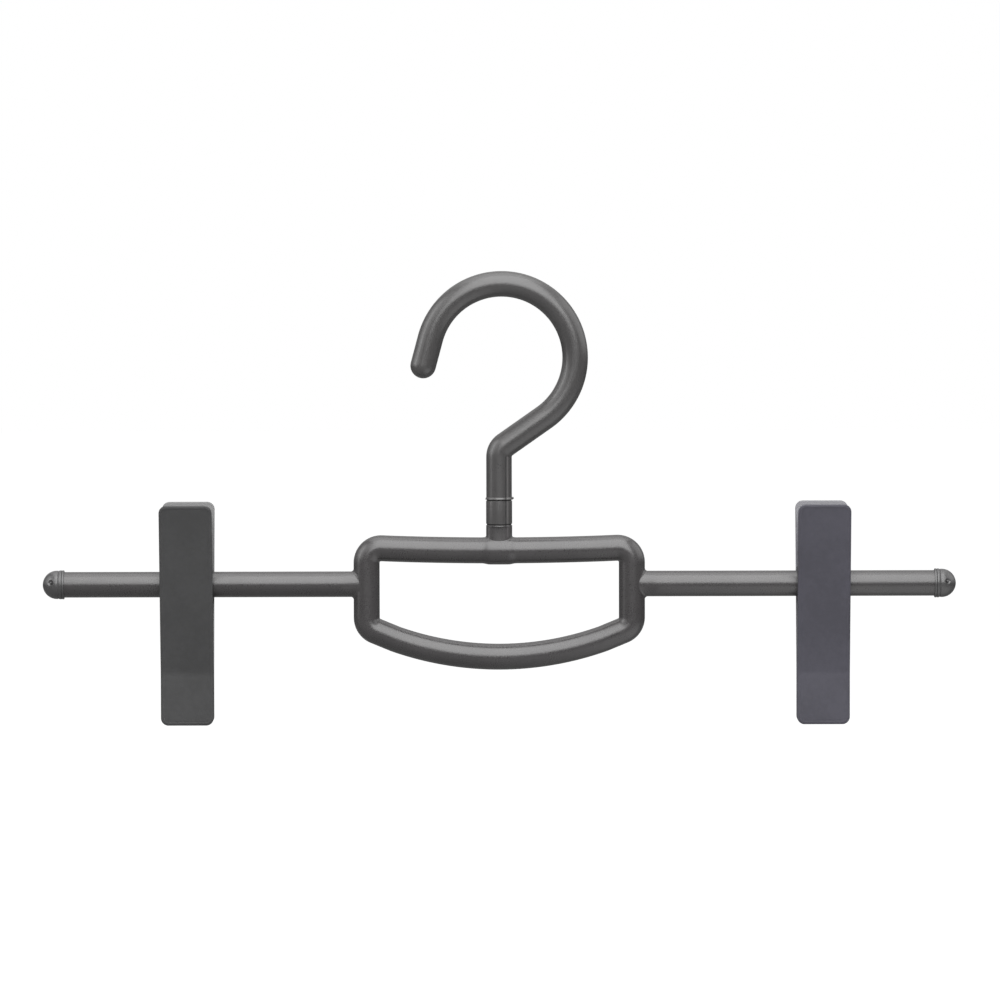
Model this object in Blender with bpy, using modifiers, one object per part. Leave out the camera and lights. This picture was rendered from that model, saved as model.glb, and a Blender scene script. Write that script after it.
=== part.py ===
"""Clip hanger: a hook that swivels in a loop-shaped frame, and two sprung clips that slide on its arms.

Metres, +Z up, +X to the right, front at -Y. The origin is where the rail bears inside the hook.
Heights written as "above" or "below the arms" are measured from the axis of the two arms.
"""

import math

import bmesh
import bpy
from mathutils import Vector

# Overall sizes
OVERALL_WIDTH = 0.4000
RAIL_SEAT_ABOVE_ARMS = 0.1258
FIT_GAP = 0.0003

# Hook: a round crook on a bent stem
HOOK_INNER_RADIUS = 0.0266
HOOK_TUBE_RADIUS = 0.0056
HOOK_CENTRE_X = 0.0012
HOOK_START_DEG = -55.0
HOOK_END_DEG = 165.0
HOOK_TIP_LENGTH = 0.0122
STEM_BEND_RADIUS = 0.0063
HOOK_TIP_FLAT = 0.02

# Neck: the hook's flange and shank, the collar below it and the frame's boss
COLLAR_TOP_ABOVE_ARMS = 0.0366
COLLAR_HEIGHT = 0.0103
COLLAR_RADIUS = 0.0057
FLANGE_RADIUS = 0.0060
FLANGE_HEIGHT = 0.0007
SHANK_RADIUS = 0.0026
BARB_RADIUS = 0.0033
BARB_TIP_RADIUS = 0.0025
BARB_HEIGHT = 0.0028
BARB_SLOT_WIDTH = 0.0009
BARB_SLOT_HEIGHT = 0.0090
BORE_FLOOR = 0.0025
BOSS_WIDTH = 0.0114
BOSS_DEPTH = 0.0092
BOSS_CORNER_RADIUS = 0.0042
BOSS_RIM_RADIUS = 0.0058
BOSS_RIM_HEIGHT = 0.0005
SWELL_RADIUS = 0.0062
SWELL_LENGTH = 0.0100
SWELL_TAPER = 0.0020

# Frame: a loop to carry it by, and one arm on each side
LOOP_TUBE_RADIUS = 0.0057
LOOP_WIDTH = 0.1276
LOOP_TOP_ABOVE_ARMS = 0.0160
LOOP_TOP_SAG = 0.0013
LOOP_BOTTOM_BELOW_ARMS = 0.0320
LOOP_BOTTOM_RADIUS = 0.1360
LOOP_CORNER_RADIUS = 0.0063
ARM_RADIUS = 0.0056

# End caps, snapped on a spigot at the end of each arm
CAP_LENGTH = 0.0094
CAP_RADIUS = 0.0062
CAP_BEAD_RADIUS = 0.00635
CAP_BEAD_LENGTH = 0.0016
CAP_GROOVE_DEPTH = 0.0003
CAP_GROOVE_LENGTH = 0.0004
CAP_SIDE_WALL = 0.0016
CAP_DOME_WALL = 0.0009
SNAP_RIB_HEIGHT = 0.0004
SNAP_RIB_LENGTH = 0.0008
SNAP_RIB_DEPTH = 0.0028

# Clips, where they stand in the photo
LEFT_CLIP_FROM_END = 0.0632
RIGHT_CLIP_FROM_END = 0.0581
CLIP_WIDTH = 0.0231
HANDLE_RISE = 0.0354
JAW_DROP = 0.0617
BEND_DROP = 0.0389
PLATE_THICKNESS = 0.0024
PLATE_CORNER_RADIUS = 0.0033
PLATE_EDGE_RADIUS = 0.0005
WALL_OVER_SPRING = 0.0014
SLEEVE_WALL = 0.0008
SLEEVE_FLANGE_HEIGHT = 0.0009
SLEEVE_FLANGE_LENGTH = 0.0005
SLEEVE_INSET = 0.00015
EAR_WALL = 0.0021
EAR_SPAN_DEG = 220.0

# Torsion spring, wound on the sleeve between the ears
WIRE_DIAMETER = 0.0012
COIL_PITCH = 0.0017
COIL_WHOLE_TURNS = 4
LEG_LENGTH = 0.0200

# Grip pads
PAD_MARGIN = 0.00175
PAD_THICKNESS = 0.00135
PAD_RIBS = 8
PAD_RIB_HEIGHT = 0.0005
RIB_FOOT_SHARE = 0.9
RIB_TIP_SHARE = 0.5
PAD_STUD_RADIUS = 0.0013
PAD_STUD_LENGTH = 0.0011
PAD_STUD_SPACING = 0.0110
GRIP_GAP = 0.0003

# Fineness of the round shapes
TUBE_SIDES = 20
WIRE_SIDES = 6
TURNED_STEPS = 24
CORNER_STEPS = 6
DOME_STEPS = 6
CROOK_STEPS = 26
TOP_STEPS = 4
BOW_STEPS = 10
EAR_STEPS = 14
COIL_POINTS_PER_TURN = 9.9

# How close points merge, how far a cutter overruns, and how far joined shapes sink into each other
MERGE = 0.00001
OVERRUN = 0.0010
SINK = 0.0005

# Places that follow from the sizes above
ARM_Z = -RAIL_SEAT_ABOVE_ARMS
COLLAR_TOP_Z = ARM_Z + COLLAR_TOP_ABOVE_ARMS
BOSS_TOP_Z = COLLAR_TOP_Z - COLLAR_HEIGHT - FIT_GAP
BAR_Z = ARM_Z + LOOP_TOP_ABOVE_ARMS - LOOP_TOP_SAG
SHANK_BORE_RADIUS = SHANK_RADIUS + FIT_GAP
BARB_BORE_RADIUS = BARB_RADIUS + FIT_GAP
BORE_BOTTOM_Z = BAR_Z - SWELL_RADIUS + BORE_FLOOR
BARB_BOTTOM_Z = BORE_BOTTOM_Z + FIT_GAP
BARB_TOP_Z = BARB_BOTTOM_Z + BARB_HEIGHT
LOOP_SIDE_X = LOOP_WIDTH / 2 - LOOP_TUBE_RADIUS

CAP_MOUTH_X = OVERALL_WIDTH / 2 - CAP_LENGTH
ARM_END_X = CAP_MOUTH_X - FIT_GAP
DOME_X = OVERALL_WIDTH / 2 - CAP_RADIUS
CAP_BORE_RADIUS = CAP_RADIUS - CAP_SIDE_WALL
CAP_BORE_END_X = DOME_X + math.sqrt((CAP_RADIUS - CAP_DOME_WALL) ** 2 - CAP_BORE_RADIUS**2)
SNAP_RIB_X = CAP_MOUTH_X + SNAP_RIB_DEPTH
SPIGOT_RADIUS = CAP_BORE_RADIUS - FIT_GAP

LEFT_CLIP_X = LEFT_CLIP_FROM_END - OVERALL_WIDTH / 2
RIGHT_CLIP_X = OVERALL_WIDTH / 2 - RIGHT_CLIP_FROM_END
SLEEVE_BORE_RADIUS = ARM_RADIUS + FIT_GAP
SLEEVE_RADIUS = SLEEVE_BORE_RADIUS + SLEEVE_WALL
SLEEVE_HALF_LENGTH = CLIP_WIDTH / 2 - SLEEVE_INSET
EAR_BORE_RADIUS = SLEEVE_RADIUS + FIT_GAP
EAR_RADIUS = EAR_BORE_RADIUS + EAR_WALL

COIL_CLEAR_RADIUS = SLEEVE_RADIUS + FIT_GAP + WIRE_DIAMETER / 2
COIL_RADIUS = COIL_CLEAR_RADIUS / math.cos(math.pi / COIL_POINTS_PER_TURN)
RELIEF_RADIUS = COIL_RADIUS + WIRE_DIAMETER / 2 + FIT_GAP
PLATE_DISTANCE = RELIEF_RADIUS + WALL_OVER_SPRING
JAW_INNER_Y = GRIP_GAP / 2 + PAD_THICKNESS + FIT_GAP
JAW_OUTER_Y = JAW_INNER_Y + PLATE_THICKNESS
HANDLE_TILT = math.asin(PLATE_DISTANCE / math.hypot(BEND_DROP, JAW_OUTER_Y)) - math.atan2(
    JAW_OUTER_Y, BEND_DROP
)
COIL_WRAP = 2 * math.pi * COIL_WHOLE_TURNS + math.pi - 2 * HANDLE_TILT
COIL_LENGTH = COIL_PITCH * COIL_WRAP / (2 * math.pi)
LEG_X = COIL_LENGTH / 2
RELIEF_HALF_LENGTH = LEG_X + WIRE_DIAMETER / 2 + FIT_GAP
EAR_ROOM = SLEEVE_HALF_LENGTH - SLEEVE_FLANGE_LENGTH - RELIEF_HALF_LENGTH
EAR_WIDTH = (EAR_ROOM - 3 * FIT_GAP) / 2
REAR_EAR_X = RELIEF_HALF_LENGTH + FIT_GAP + EAR_WIDTH / 2
FRONT_EAR_X = REAR_EAR_X + EAR_WIDTH + FIT_GAP
PAD_Z = -(JAW_DROP + BEND_DROP) / 2
PAD_WIDTH = CLIP_WIDTH - 2 * PAD_MARGIN
PAD_HEIGHT = JAW_DROP - BEND_DROP - 2 * PAD_MARGIN

ALONG_X = (0.0, math.pi / 2, 0.0)
IN_YZ_PLANE = (math.pi / 2, 0.0, math.pi / 2)
ACROSS_Y = (math.pi / 2, 0.0, 0.0)
FRONT = -1
REAR = 1
SMOOTH_DEG = 35.0
WIRE_SMOOTH_DEG = 70.0

# name: colour, roughness, metallic
FINISHES = {
    "frame": ((0.075, 0.072, 0.074), 0.42, 0.0),
    "hook": ((0.080, 0.078, 0.079), 0.40, 0.0),
    "cap": ((0.068, 0.066, 0.068), 0.45, 0.0),
    "jaw": ((0.085, 0.086, 0.090), 0.60, 0.0),
    "sleeve": ((0.050, 0.050, 0.052), 0.55, 0.0),
    "spring": ((0.560, 0.560, 0.550), 0.30, 1.0),
    "pad": ((0.030, 0.030, 0.031), 0.85, 0.0),
}


def clear_scene():
    for old in list(bpy.data.objects):
        bpy.data.objects.remove(old, do_unlink=True)


def new_collection(name):
    collection = bpy.data.collections.new(name)
    bpy.context.scene.collection.children.link(collection)
    return collection


def finish_material(name, finish):
    colour, roughness, metallic = FINISHES[finish]
    material = bpy.data.materials.new(name)
    material.use_nodes = True
    shader = material.node_tree.nodes["Principled BSDF"]
    shader.inputs["Base Color"].default_value = (*colour, 1.0)
    shader.inputs["Roughness"].default_value = roughness
    shader.inputs["Metallic"].default_value = metallic
    return material


def add_object(name, data, collection, parent=None, at=(0, 0, 0), turned_to=(0, 0, 0)):
    """Links a new object. Its place is given from its parent's origin."""
    obj = bpy.data.objects.new(name, data)
    collection.objects.link(obj)
    obj.parent = parent
    obj.location = at
    obj.rotation_euler = turned_to
    return obj


def as_part(obj, finish, smooth_deg=SMOOTH_DEG):
    """Gives a part its own material and smooth shading over its shallow edges."""
    obj.data.materials.clear()
    obj.data.materials.append(finish_material(obj.name, finish))
    obj.data.shade_smooth()
    obj.data.set_sharp_from_angle(angle=math.radians(smooth_deg))


def as_cutter(obj):
    obj.hide_render = True
    obj.display_type = "WIRE"
    return obj


def boolean(obj, other, operation):
    modifier = obj.modifiers.new(f"{operation.lower()} {other.name}", "BOOLEAN")
    modifier.operation = operation
    modifier.solver = "EXACT"
    modifier.object = other


def joined(obj, *others):
    for other in others:
        boolean(obj, other, "UNION")


def cut(obj, *others):
    for other in others:
        boolean(obj, other, "DIFFERENCE")


def axis_at(name, collection, parent, at):
    """An empty on a joint's axis, which the pieces that move on it hang from."""
    empty = add_object(name, None, collection, parent, at)
    empty.empty_display_size = 0.01
    return empty


def box(name, size, collection, parent=None, at=(0, 0, 0), turned_to=(0, 0, 0)):
    mesh = bpy.data.meshes.new(name)
    bm = bmesh.new()
    bmesh.ops.create_cube(bm, size=1.0)
    bmesh.ops.scale(bm, vec=size, verts=bm.verts)
    bm.to_mesh(mesh)
    bm.free()
    return add_object(name, mesh, collection, parent, at, turned_to)


def cylinder(name, radius, depth, collection, parent=None, at=(0, 0, 0), turned_to=(0, 0, 0)):
    mesh = bpy.data.meshes.new(name)
    bm = bmesh.new()
    bmesh.ops.create_cone(
        bm, cap_ends=True, segments=TURNED_STEPS, radius1=radius, radius2=radius, depth=depth
    )
    bm.to_mesh(mesh)
    bm.free()
    return add_object(name, mesh, collection, parent, at, turned_to)


def turned(name, profile, collection, parent=None, at=(0, 0, 0), turned_to=(0, 0, 0), ring=False):
    """A profile of (radius, height) points turned round Z. It runs top to bottom on its outer side."""
    mesh = bpy.data.meshes.new(name)
    points = [(radius, 0.0, height) for radius, height in profile]
    edges = [(i, i + 1) for i in range(len(points) - 1)]
    if ring:
        edges.append((len(points) - 1, 0))
    mesh.from_pydata(points, edges, [])
    obj = add_object(name, mesh, collection, parent, at, turned_to)
    screw = obj.modifiers.new("turn", "SCREW")
    screw.steps = TURNED_STEPS
    screw.render_steps = TURNED_STEPS
    screw.use_merge_vertices = True
    screw.merge_threshold = MERGE
    return obj


def fillet(before, corner, after, radius, steps=CORNER_STEPS):
    """Points of an arc that rounds off a corner of a path."""
    back = (before - corner).normalized()
    ahead = (after - corner).normalized()
    half = back.angle(ahead) / 2
    centre = corner + (back + ahead).normalized() * (radius / math.sin(half))
    start = corner + back * (radius / math.tan(half)) - centre
    end = corner + ahead * (radius / math.tan(half)) - centre
    sweep = start.angle(end)
    arc = []
    for i in range(steps + 1):
        share = i / steps
        spoke = start * math.sin((1 - share) * sweep) + end * math.sin(share * sweep)
        arc.append(centre + spoke / math.sin(sweep))
    return arc


def meshed(guide, name, collection, parent=None, at=(0, 0, 0), turned_to=(0, 0, 0)):
    """Replaces a guide curve by its solid, as a mesh with the caps welded to the sides."""
    mesh = bpy.data.meshes.new_from_object(
        guide.evaluated_get(bpy.context.evaluated_depsgraph_get())
    )
    mesh.name = name
    bm = bmesh.new()
    bm.from_mesh(mesh)
    bmesh.ops.remove_doubles(bm, verts=bm.verts, dist=MERGE)
    bmesh.ops.recalc_face_normals(bm, faces=bm.faces)
    bm.to_mesh(mesh)
    bm.free()
    bpy.data.objects.remove(guide, do_unlink=True)
    return add_object(name, mesh, collection, parent, at, turned_to)


def tube(name, path, radius, sides, collection, closed=False, scales=None):
    """A round tube along a path. scales narrows it at single points, as for a round end."""
    curve = bpy.data.curves.new(name + " path", "CURVE")
    curve.dimensions = "3D"
    curve.bevel_depth = radius
    curve.bevel_resolution = (sides - 4) // 2
    curve.use_fill_caps = not closed
    spline = curve.splines.new("POLY")
    spline.points.add(len(path) - 1)
    for i, place in enumerate(path):
        spline.points[i].co = (*place, 1.0)
        spline.points[i].radius = scales[i] if scales else 1.0
    spline.use_cyclic_u = closed
    return meshed(add_object(name + " path", curve, collection), name, collection)


def prism(name, outline, length, collection, parent=None, at=(0, 0, 0), turned_to=(0, 0, 0)):
    """A flat outline in the object's XY plane, made solid by length along its Z."""
    curve = bpy.data.curves.new(name + " outline", "CURVE")
    curve.dimensions = "2D"
    curve.fill_mode = "BOTH"
    curve.extrude = length / 2
    spline = curve.splines.new("POLY")
    spline.points.add(len(outline) - 1)
    for point, place in zip(spline.points, outline):
        point.co = (*place, 0.0, 1.0)
    spline.use_cyclic_u = True
    guide = add_object(name + " outline", curve, collection)
    return meshed(guide, name, collection, parent, at, turned_to)


def rounded_rectangle(width, depth, radius):
    """Outline points of a rectangle with round corners, anticlockwise."""
    corners = [
        Vector((sx * width / 2, sy * depth / 2)) for sx, sy in ((1, -1), (1, 1), (-1, 1), (-1, -1))
    ]
    outline = []
    for i, corner in enumerate(corners):
        outline += fillet(corners[i - 1], corner, corners[(i + 1) % 4], radius, CORNER_STEPS)
    return outline


def hook_path():
    """Centreline from the flange up the stem and round the crook, with the scale at each point."""
    radius = HOOK_INNER_RADIUS + HOOK_TUBE_RADIUS
    centre = Vector((HOOK_CENTRE_X, 0, -HOOK_INNER_RADIUS))
    start = math.radians(HOOK_START_DEG)
    end = math.radians(HOOK_END_DEG)
    first = centre + Vector((math.cos(start), 0, math.sin(start))) * radius
    away = Vector((math.sin(start), 0, -math.cos(start)))
    corner = first + away * (first.x / -away.x)
    foot = Vector((0, 0, COLLAR_TOP_Z + FIT_GAP + FLANGE_HEIGHT / 2))
    path = [foot] + fillet(foot, corner, first, STEM_BEND_RADIUS)
    for i in range(CROOK_STEPS + 1):
        angle = start + (end - start) * i / CROOK_STEPS
        path.append(centre + Vector((math.cos(angle), 0, math.sin(angle))) * radius)
    tip_way = Vector((-math.sin(end), 0, math.cos(end)))
    tip = path[-1] + tip_way * HOOK_TIP_LENGTH
    scales = [1.0] * len(path)
    for i in range(DOME_STEPS):
        angle = math.pi / 2 * i / (DOME_STEPS - 1)
        path.append(tip + tip_way * (HOOK_TUBE_RADIUS * math.sin(angle)))
        scales.append(max(math.cos(angle), HOOK_TIP_FLAT))
    return path, scales


def make_hook(parts, cutters):
    path, scales = hook_path()
    hook = tube("hook", path, HOOK_TUBE_RADIUS, TUBE_SIDES, parts, scales=scales)
    flange_bottom = COLLAR_TOP_Z + FIT_GAP
    shank = turned(
        "hook shank",
        [
            (0, flange_bottom + FLANGE_HEIGHT),
            (FLANGE_RADIUS, flange_bottom + FLANGE_HEIGHT),
            (FLANGE_RADIUS, flange_bottom),
            (SHANK_RADIUS, flange_bottom),
            (SHANK_RADIUS, BARB_TOP_Z),
            (BARB_RADIUS, BARB_TOP_Z),
            (BARB_TIP_RADIUS, BARB_BOTTOM_Z),
            (0, BARB_BOTTOM_Z),
        ],
        cutters,
    )
    slot_height = BARB_SLOT_HEIGHT + OVERRUN
    slot = box(
        "barb slot",
        (BARB_SLOT_WIDTH, 4 * BARB_RADIUS, slot_height),
        cutters,
        at=(0, 0, BARB_BOTTOM_Z - OVERRUN + slot_height / 2),
    )
    joined(hook, as_cutter(shank))
    cut(hook, as_cutter(slot))
    as_part(hook, "hook")
    return hook


def make_collar(parts, swivel):
    base = BOSS_TOP_Z + FIT_GAP - swivel.location.z
    collar = turned(
        "neck_collar",
        [
            (SHANK_BORE_RADIUS, base + COLLAR_HEIGHT),
            (COLLAR_RADIUS, base + COLLAR_HEIGHT),
            (COLLAR_RADIUS, base),
            (SHANK_BORE_RADIUS, base),
        ],
        parts,
        swivel,
        ring=True,
    )
    as_part(collar, "hook")


def loop_path():
    """Centreline of the loop: a slightly sagging top, upright sides and a bowed bottom."""
    half = LOOP_SIDE_X
    top_z = ARM_Z + LOOP_TOP_ABOVE_ARMS
    bow_centre_z = ARM_Z - LOOP_BOTTOM_BELOW_ARMS + LOOP_BOTTOM_RADIUS

    def top(share):
        x = share * half
        return Vector((x, 0, top_z - LOOP_TOP_SAG * (1 - share * share)))

    def bottom(share):
        x = share * half
        return Vector((x, 0, bow_centre_z - math.sqrt(LOOP_BOTTOM_RADIUS**2 - x * x)))

    reach = 1 - 2 * LOOP_CORNER_RADIUS / half
    runs = [reach * (2 * i / TOP_STEPS - 1) for i in range(TOP_STEPS + 1)]
    bows = [reach * (1 - 2 * i / BOW_STEPS) for i in range(BOW_STEPS + 1)]
    path = fillet(bottom(-1), top(-1), top(runs[0]), LOOP_CORNER_RADIUS)
    path += [top(share) for share in runs]
    path += fillet(top(runs[-1]), top(1), bottom(1), LOOP_CORNER_RADIUS)
    path += fillet(top(1), bottom(1), bottom(bows[0]), LOOP_CORNER_RADIUS)
    path += [bottom(share) for share in bows]
    path += fillet(bottom(bows[-1]), bottom(-1), top(-1), LOOP_CORNER_RADIUS)
    return path


def arm_profile():
    """(radius, distance from the middle) along an arm, outer end first."""
    spigot_end = CAP_BORE_END_X - FIT_GAP
    groove_half = SNAP_RIB_LENGTH / 2 + FIT_GAP
    groove_radius = SPIGOT_RADIUS - SNAP_RIB_HEIGHT
    return [
        (0, spigot_end),
        (groove_radius, spigot_end),
        (SPIGOT_RADIUS, spigot_end - SNAP_RIB_HEIGHT),
        (SPIGOT_RADIUS, SNAP_RIB_X + groove_half),
        (groove_radius, SNAP_RIB_X + groove_half),
        (groove_radius, SNAP_RIB_X - groove_half),
        (SPIGOT_RADIUS, SNAP_RIB_X - groove_half),
        (SPIGOT_RADIUS, ARM_END_X),
        (ARM_RADIUS, ARM_END_X),
        (ARM_RADIUS, LOOP_SIDE_X + OVERRUN),
        (ARM_RADIUS / 2, LOOP_SIDE_X - LOOP_TUBE_RADIUS / 2),
        (0, LOOP_SIDE_X - LOOP_TUBE_RADIUS / 2),
    ]


def make_frame(parts, cutters, swivel):
    frame = tube("frame", loop_path(), LOOP_TUBE_RADIUS, TUBE_SIDES, parts, closed=True)
    frame.parent = swivel
    frame.location = -swivel.location
    shapes = []
    for side, sign in (("left", -1), ("right", 1)):
        arm = turned(
            f"{side} arm",
            arm_profile(),
            cutters,
            at=(0, 0, ARM_Z),
            turned_to=(0, sign * math.pi / 2, 0),
        )
        shapes.append(arm)
    swell_half = SWELL_LENGTH / 2
    swell_foot = LOOP_TUBE_RADIUS - SINK
    shapes.append(
        turned(
            "neck swelling",
            [
                (0, swell_half + SWELL_TAPER),
                (swell_foot, swell_half + SWELL_TAPER),
                (SWELL_RADIUS, swell_half),
                (SWELL_RADIUS, -swell_half),
                (swell_foot, -swell_half - SWELL_TAPER),
                (0, -swell_half - SWELL_TAPER),
            ],
            cutters,
            at=(0, 0, BAR_Z),
            turned_to=ALONG_X,
        )
    )
    boss_height = BOSS_TOP_Z - BOSS_RIM_HEIGHT / 2 - BAR_Z
    shapes.append(
        prism(
            "neck boss",
            rounded_rectangle(BOSS_WIDTH, BOSS_DEPTH, BOSS_CORNER_RADIUS),
            boss_height,
            cutters,
            at=(0, 0, BAR_Z + boss_height / 2),
        )
    )
    shapes.append(
        cylinder(
            "boss rim",
            BOSS_RIM_RADIUS,
            BOSS_RIM_HEIGHT,
            cutters,
            at=(0, 0, BOSS_TOP_Z - BOSS_RIM_HEIGHT / 2),
        )
    )
    bore_top = BOSS_TOP_Z + OVERRUN
    barb_seat = BARB_TOP_Z + FIT_GAP
    bore = turned(
        "shank bore",
        [
            (0, bore_top),
            (SHANK_BORE_RADIUS, bore_top),
            (SHANK_BORE_RADIUS, barb_seat),
            (BARB_BORE_RADIUS, barb_seat),
            (BARB_BORE_RADIUS, BORE_BOTTOM_Z),
            (0, BORE_BOTTOM_Z),
        ],
        cutters,
    )
    for shape in shapes:
        joined(frame, as_cutter(shape))
    cut(frame, as_cutter(bore))
    as_part(frame, "frame")
    return frame


def make_end_cap(side, sign, parts, swivel):
    """A domed cap with a beaded mouth. Heights in the profile run out along the arm."""
    bead_end = CAP_MOUTH_X + CAP_BEAD_LENGTH
    groove_end = bead_end + CAP_GROOVE_LENGTH
    groove_radius = CAP_RADIUS - CAP_GROOVE_DEPTH
    rib_half = SNAP_RIB_LENGTH / 2
    rib_radius = CAP_BORE_RADIUS - SNAP_RIB_HEIGHT
    profile = []
    for i in range(DOME_STEPS + 1):
        angle = math.pi / 2 * i / DOME_STEPS
        profile.append((CAP_RADIUS * math.sin(angle), DOME_X + CAP_RADIUS * math.cos(angle)))
    profile += [
        (CAP_RADIUS, groove_end),
        (groove_radius, groove_end - CAP_GROOVE_LENGTH / 2),
        (CAP_BEAD_RADIUS, bead_end - CAP_GROOVE_LENGTH / 2),
        (CAP_BEAD_RADIUS, CAP_MOUTH_X + CAP_GROOVE_LENGTH),
        (groove_radius, CAP_MOUTH_X),
        (CAP_BORE_RADIUS, CAP_MOUTH_X),
        (CAP_BORE_RADIUS, SNAP_RIB_X - rib_half),
        (rib_radius, SNAP_RIB_X - rib_half / 2),
        (rib_radius, SNAP_RIB_X + rib_half / 2),
        (CAP_BORE_RADIUS, SNAP_RIB_X + rib_half),
        (CAP_BORE_RADIUS, CAP_BORE_END_X),
        (0, CAP_BORE_END_X),
    ]
    cap = turned(
        f"{side}_end_cap",
        profile,
        parts,
        swivel,
        at=(0, 0, ARM_Z - swivel.location.z),
        turned_to=(0, sign * math.pi / 2, 0),
    )
    as_part(cap, "cap")


def make_sleeve(side, parts, axis):
    end = SLEEVE_HALF_LENGTH
    shoulder = end - SLEEVE_FLANGE_LENGTH
    flange_radius = SLEEVE_RADIUS + SLEEVE_FLANGE_HEIGHT
    sleeve = turned(
        f"{side}_pivot_sleeve",
        [
            (SLEEVE_BORE_RADIUS, end),
            (flange_radius, end),
            (flange_radius, shoulder),
            (SLEEVE_RADIUS, shoulder),
            (SLEEVE_RADIUS, -shoulder),
            (flange_radius, -shoulder),
            (flange_radius, -end),
            (SLEEVE_BORE_RADIUS, -end),
        ],
        parts,
        axis,
        turned_to=ALONG_X,
        ring=True,
    )
    as_part(sleeve, "sleeve")


def plate_mesh(name, face):
    """A flat plate with round corners, upright at the jaw and leaning outwards above the bend."""
    height = HANDLE_RISE + JAW_DROP
    middle_y = face * (JAW_OUTER_Y - PLATE_THICKNESS / 2)
    mesh = bpy.data.meshes.new(name)
    bm = bmesh.new()
    bmesh.ops.create_cube(bm, size=1.0)
    bmesh.ops.scale(bm, vec=(CLIP_WIDTH, PLATE_THICKNESS, height), verts=bm.verts)
    bmesh.ops.translate(bm, vec=(0, middle_y, (HANDLE_RISE - JAW_DROP) / 2), verts=bm.verts)
    corners = [e for e in bm.edges if abs(e.verts[0].co.y - e.verts[1].co.y) > PLATE_THICKNESS / 2]
    bmesh.ops.bevel(
        bm,
        geom=corners,
        offset=PLATE_CORNER_RADIUS,
        segments=CORNER_STEPS,
        profile=0.5,
        affect="EDGES",
    )
    bmesh.ops.bisect_plane(
        bm,
        geom=bm.verts[:] + bm.edges[:] + bm.faces[:],
        plane_co=(0, 0, -BEND_DROP),
        plane_no=(0, 0, 1),
        dist=MERGE,
    )
    for vertex in bm.verts:
        lean = max(0.0, vertex.co.z + BEND_DROP) * math.tan(HANDLE_TILT)
        vertex.co.y += face * lean
    bm.to_mesh(mesh)
    bm.free()
    return mesh


def ear_outline(face):
    """A C that is open towards the other plate, in the plane across the arm."""
    middle = 0.0 if face == REAR else math.pi
    half = math.radians(EAR_SPAN_DEG) / 2
    turns = [middle - half + 2 * half * i / EAR_STEPS for i in range(EAR_STEPS + 1)]
    outer = [(EAR_RADIUS * math.cos(a), EAR_RADIUS * math.sin(a)) for a in turns]
    corner = EAR_BORE_RADIUS / math.cos(half / EAR_STEPS)
    inner = [(corner * math.cos(a), corner * math.sin(a)) for a in reversed(turns)]
    return outer + inner


def make_jaw(side, name, face, ear_x, leg_x, parts, cutters, axis):
    jaw = add_object(f"{side}_{name}", plate_mesh(f"{side}_{name}", face), parts, axis)
    bevel = jaw.modifiers.new("edges", "BEVEL")
    bevel.width = PLATE_EDGE_RADIUS
    bevel.segments = 2
    bevel.limit_method = "ANGLE"
    bevel.angle_limit = math.radians(40)
    label = f"{side} {name}"
    for sign in (-1, 1):
        ear = prism(
            f"{label} ear {sign:+d}",
            ear_outline(face),
            EAR_WIDTH,
            cutters,
            axis,
            at=(sign * ear_x, 0, 0),
            turned_to=IN_YZ_PLANE,
        )
        joined(jaw, as_cutter(ear))
    relief = cylinder(
        f"{label} coil relief",
        RELIEF_RADIUS,
        2 * RELIEF_HALF_LENGTH,
        cutters,
        axis,
        turned_to=ALONG_X,
    )
    groove_width = WIRE_DIAMETER + 2 * FIT_GAP
    groove_length = LEG_LENGTH + 2 * FIT_GAP
    groove_depth = PLATE_THICKNESS + OVERRUN
    tilt = -face * HANDLE_TILT
    middle = Vector((leg_x, face * (RELIEF_RADIUS - groove_depth / 2), groove_length / 2))
    groove = box(
        f"{label} leg groove",
        (groove_width, groove_depth, groove_length),
        cutters,
        axis,
        at=(
            middle.x,
            middle.y * math.cos(tilt) - middle.z * math.sin(tilt),
            middle.y * math.sin(tilt) + middle.z * math.cos(tilt),
        ),
        turned_to=(tilt, 0, 0),
    )
    cut(jaw, as_cutter(relief), as_cutter(groove))
    pocket_end = JAW_INNER_Y + PAD_STUD_LENGTH
    pocket_length = PAD_STUD_LENGTH + OVERRUN
    for sign in (-1, 1):
        pocket = cylinder(
            f"{label} stud pocket {sign:+d}",
            PAD_STUD_RADIUS + FIT_GAP,
            pocket_length,
            cutters,
            axis,
            at=(sign * PAD_STUD_SPACING / 2, face * (pocket_end - pocket_length / 2), PAD_Z),
            turned_to=ACROSS_Y,
        )
        cut(jaw, as_cutter(pocket))
    as_part(jaw, "jaw")


def spring_path():
    """Centreline of the spring: down the front leg, round the coil and up the rear leg."""
    steps = math.floor(COIL_WRAP / (2 * math.pi) * COIL_POINTS_PER_TURN)
    start = math.pi + HANDLE_TILT
    coil = []
    for i in range(steps + 1):
        angle = start + COIL_WRAP * i / steps
        x = LEG_X - COIL_LENGTH * i / steps
        coil.append(Vector((x, COIL_RADIUS * math.cos(angle), COIL_RADIUS * math.sin(angle))))
    front_up = Vector((0, -math.sin(HANDLE_TILT), math.cos(HANDLE_TILT)))
    rear_up = Vector((0, math.sin(HANDLE_TILT), math.cos(HANDLE_TILT)))
    return [coil[0] + front_up * LEG_LENGTH] + coil + [coil[-1] + rear_up * LEG_LENGTH]


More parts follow.
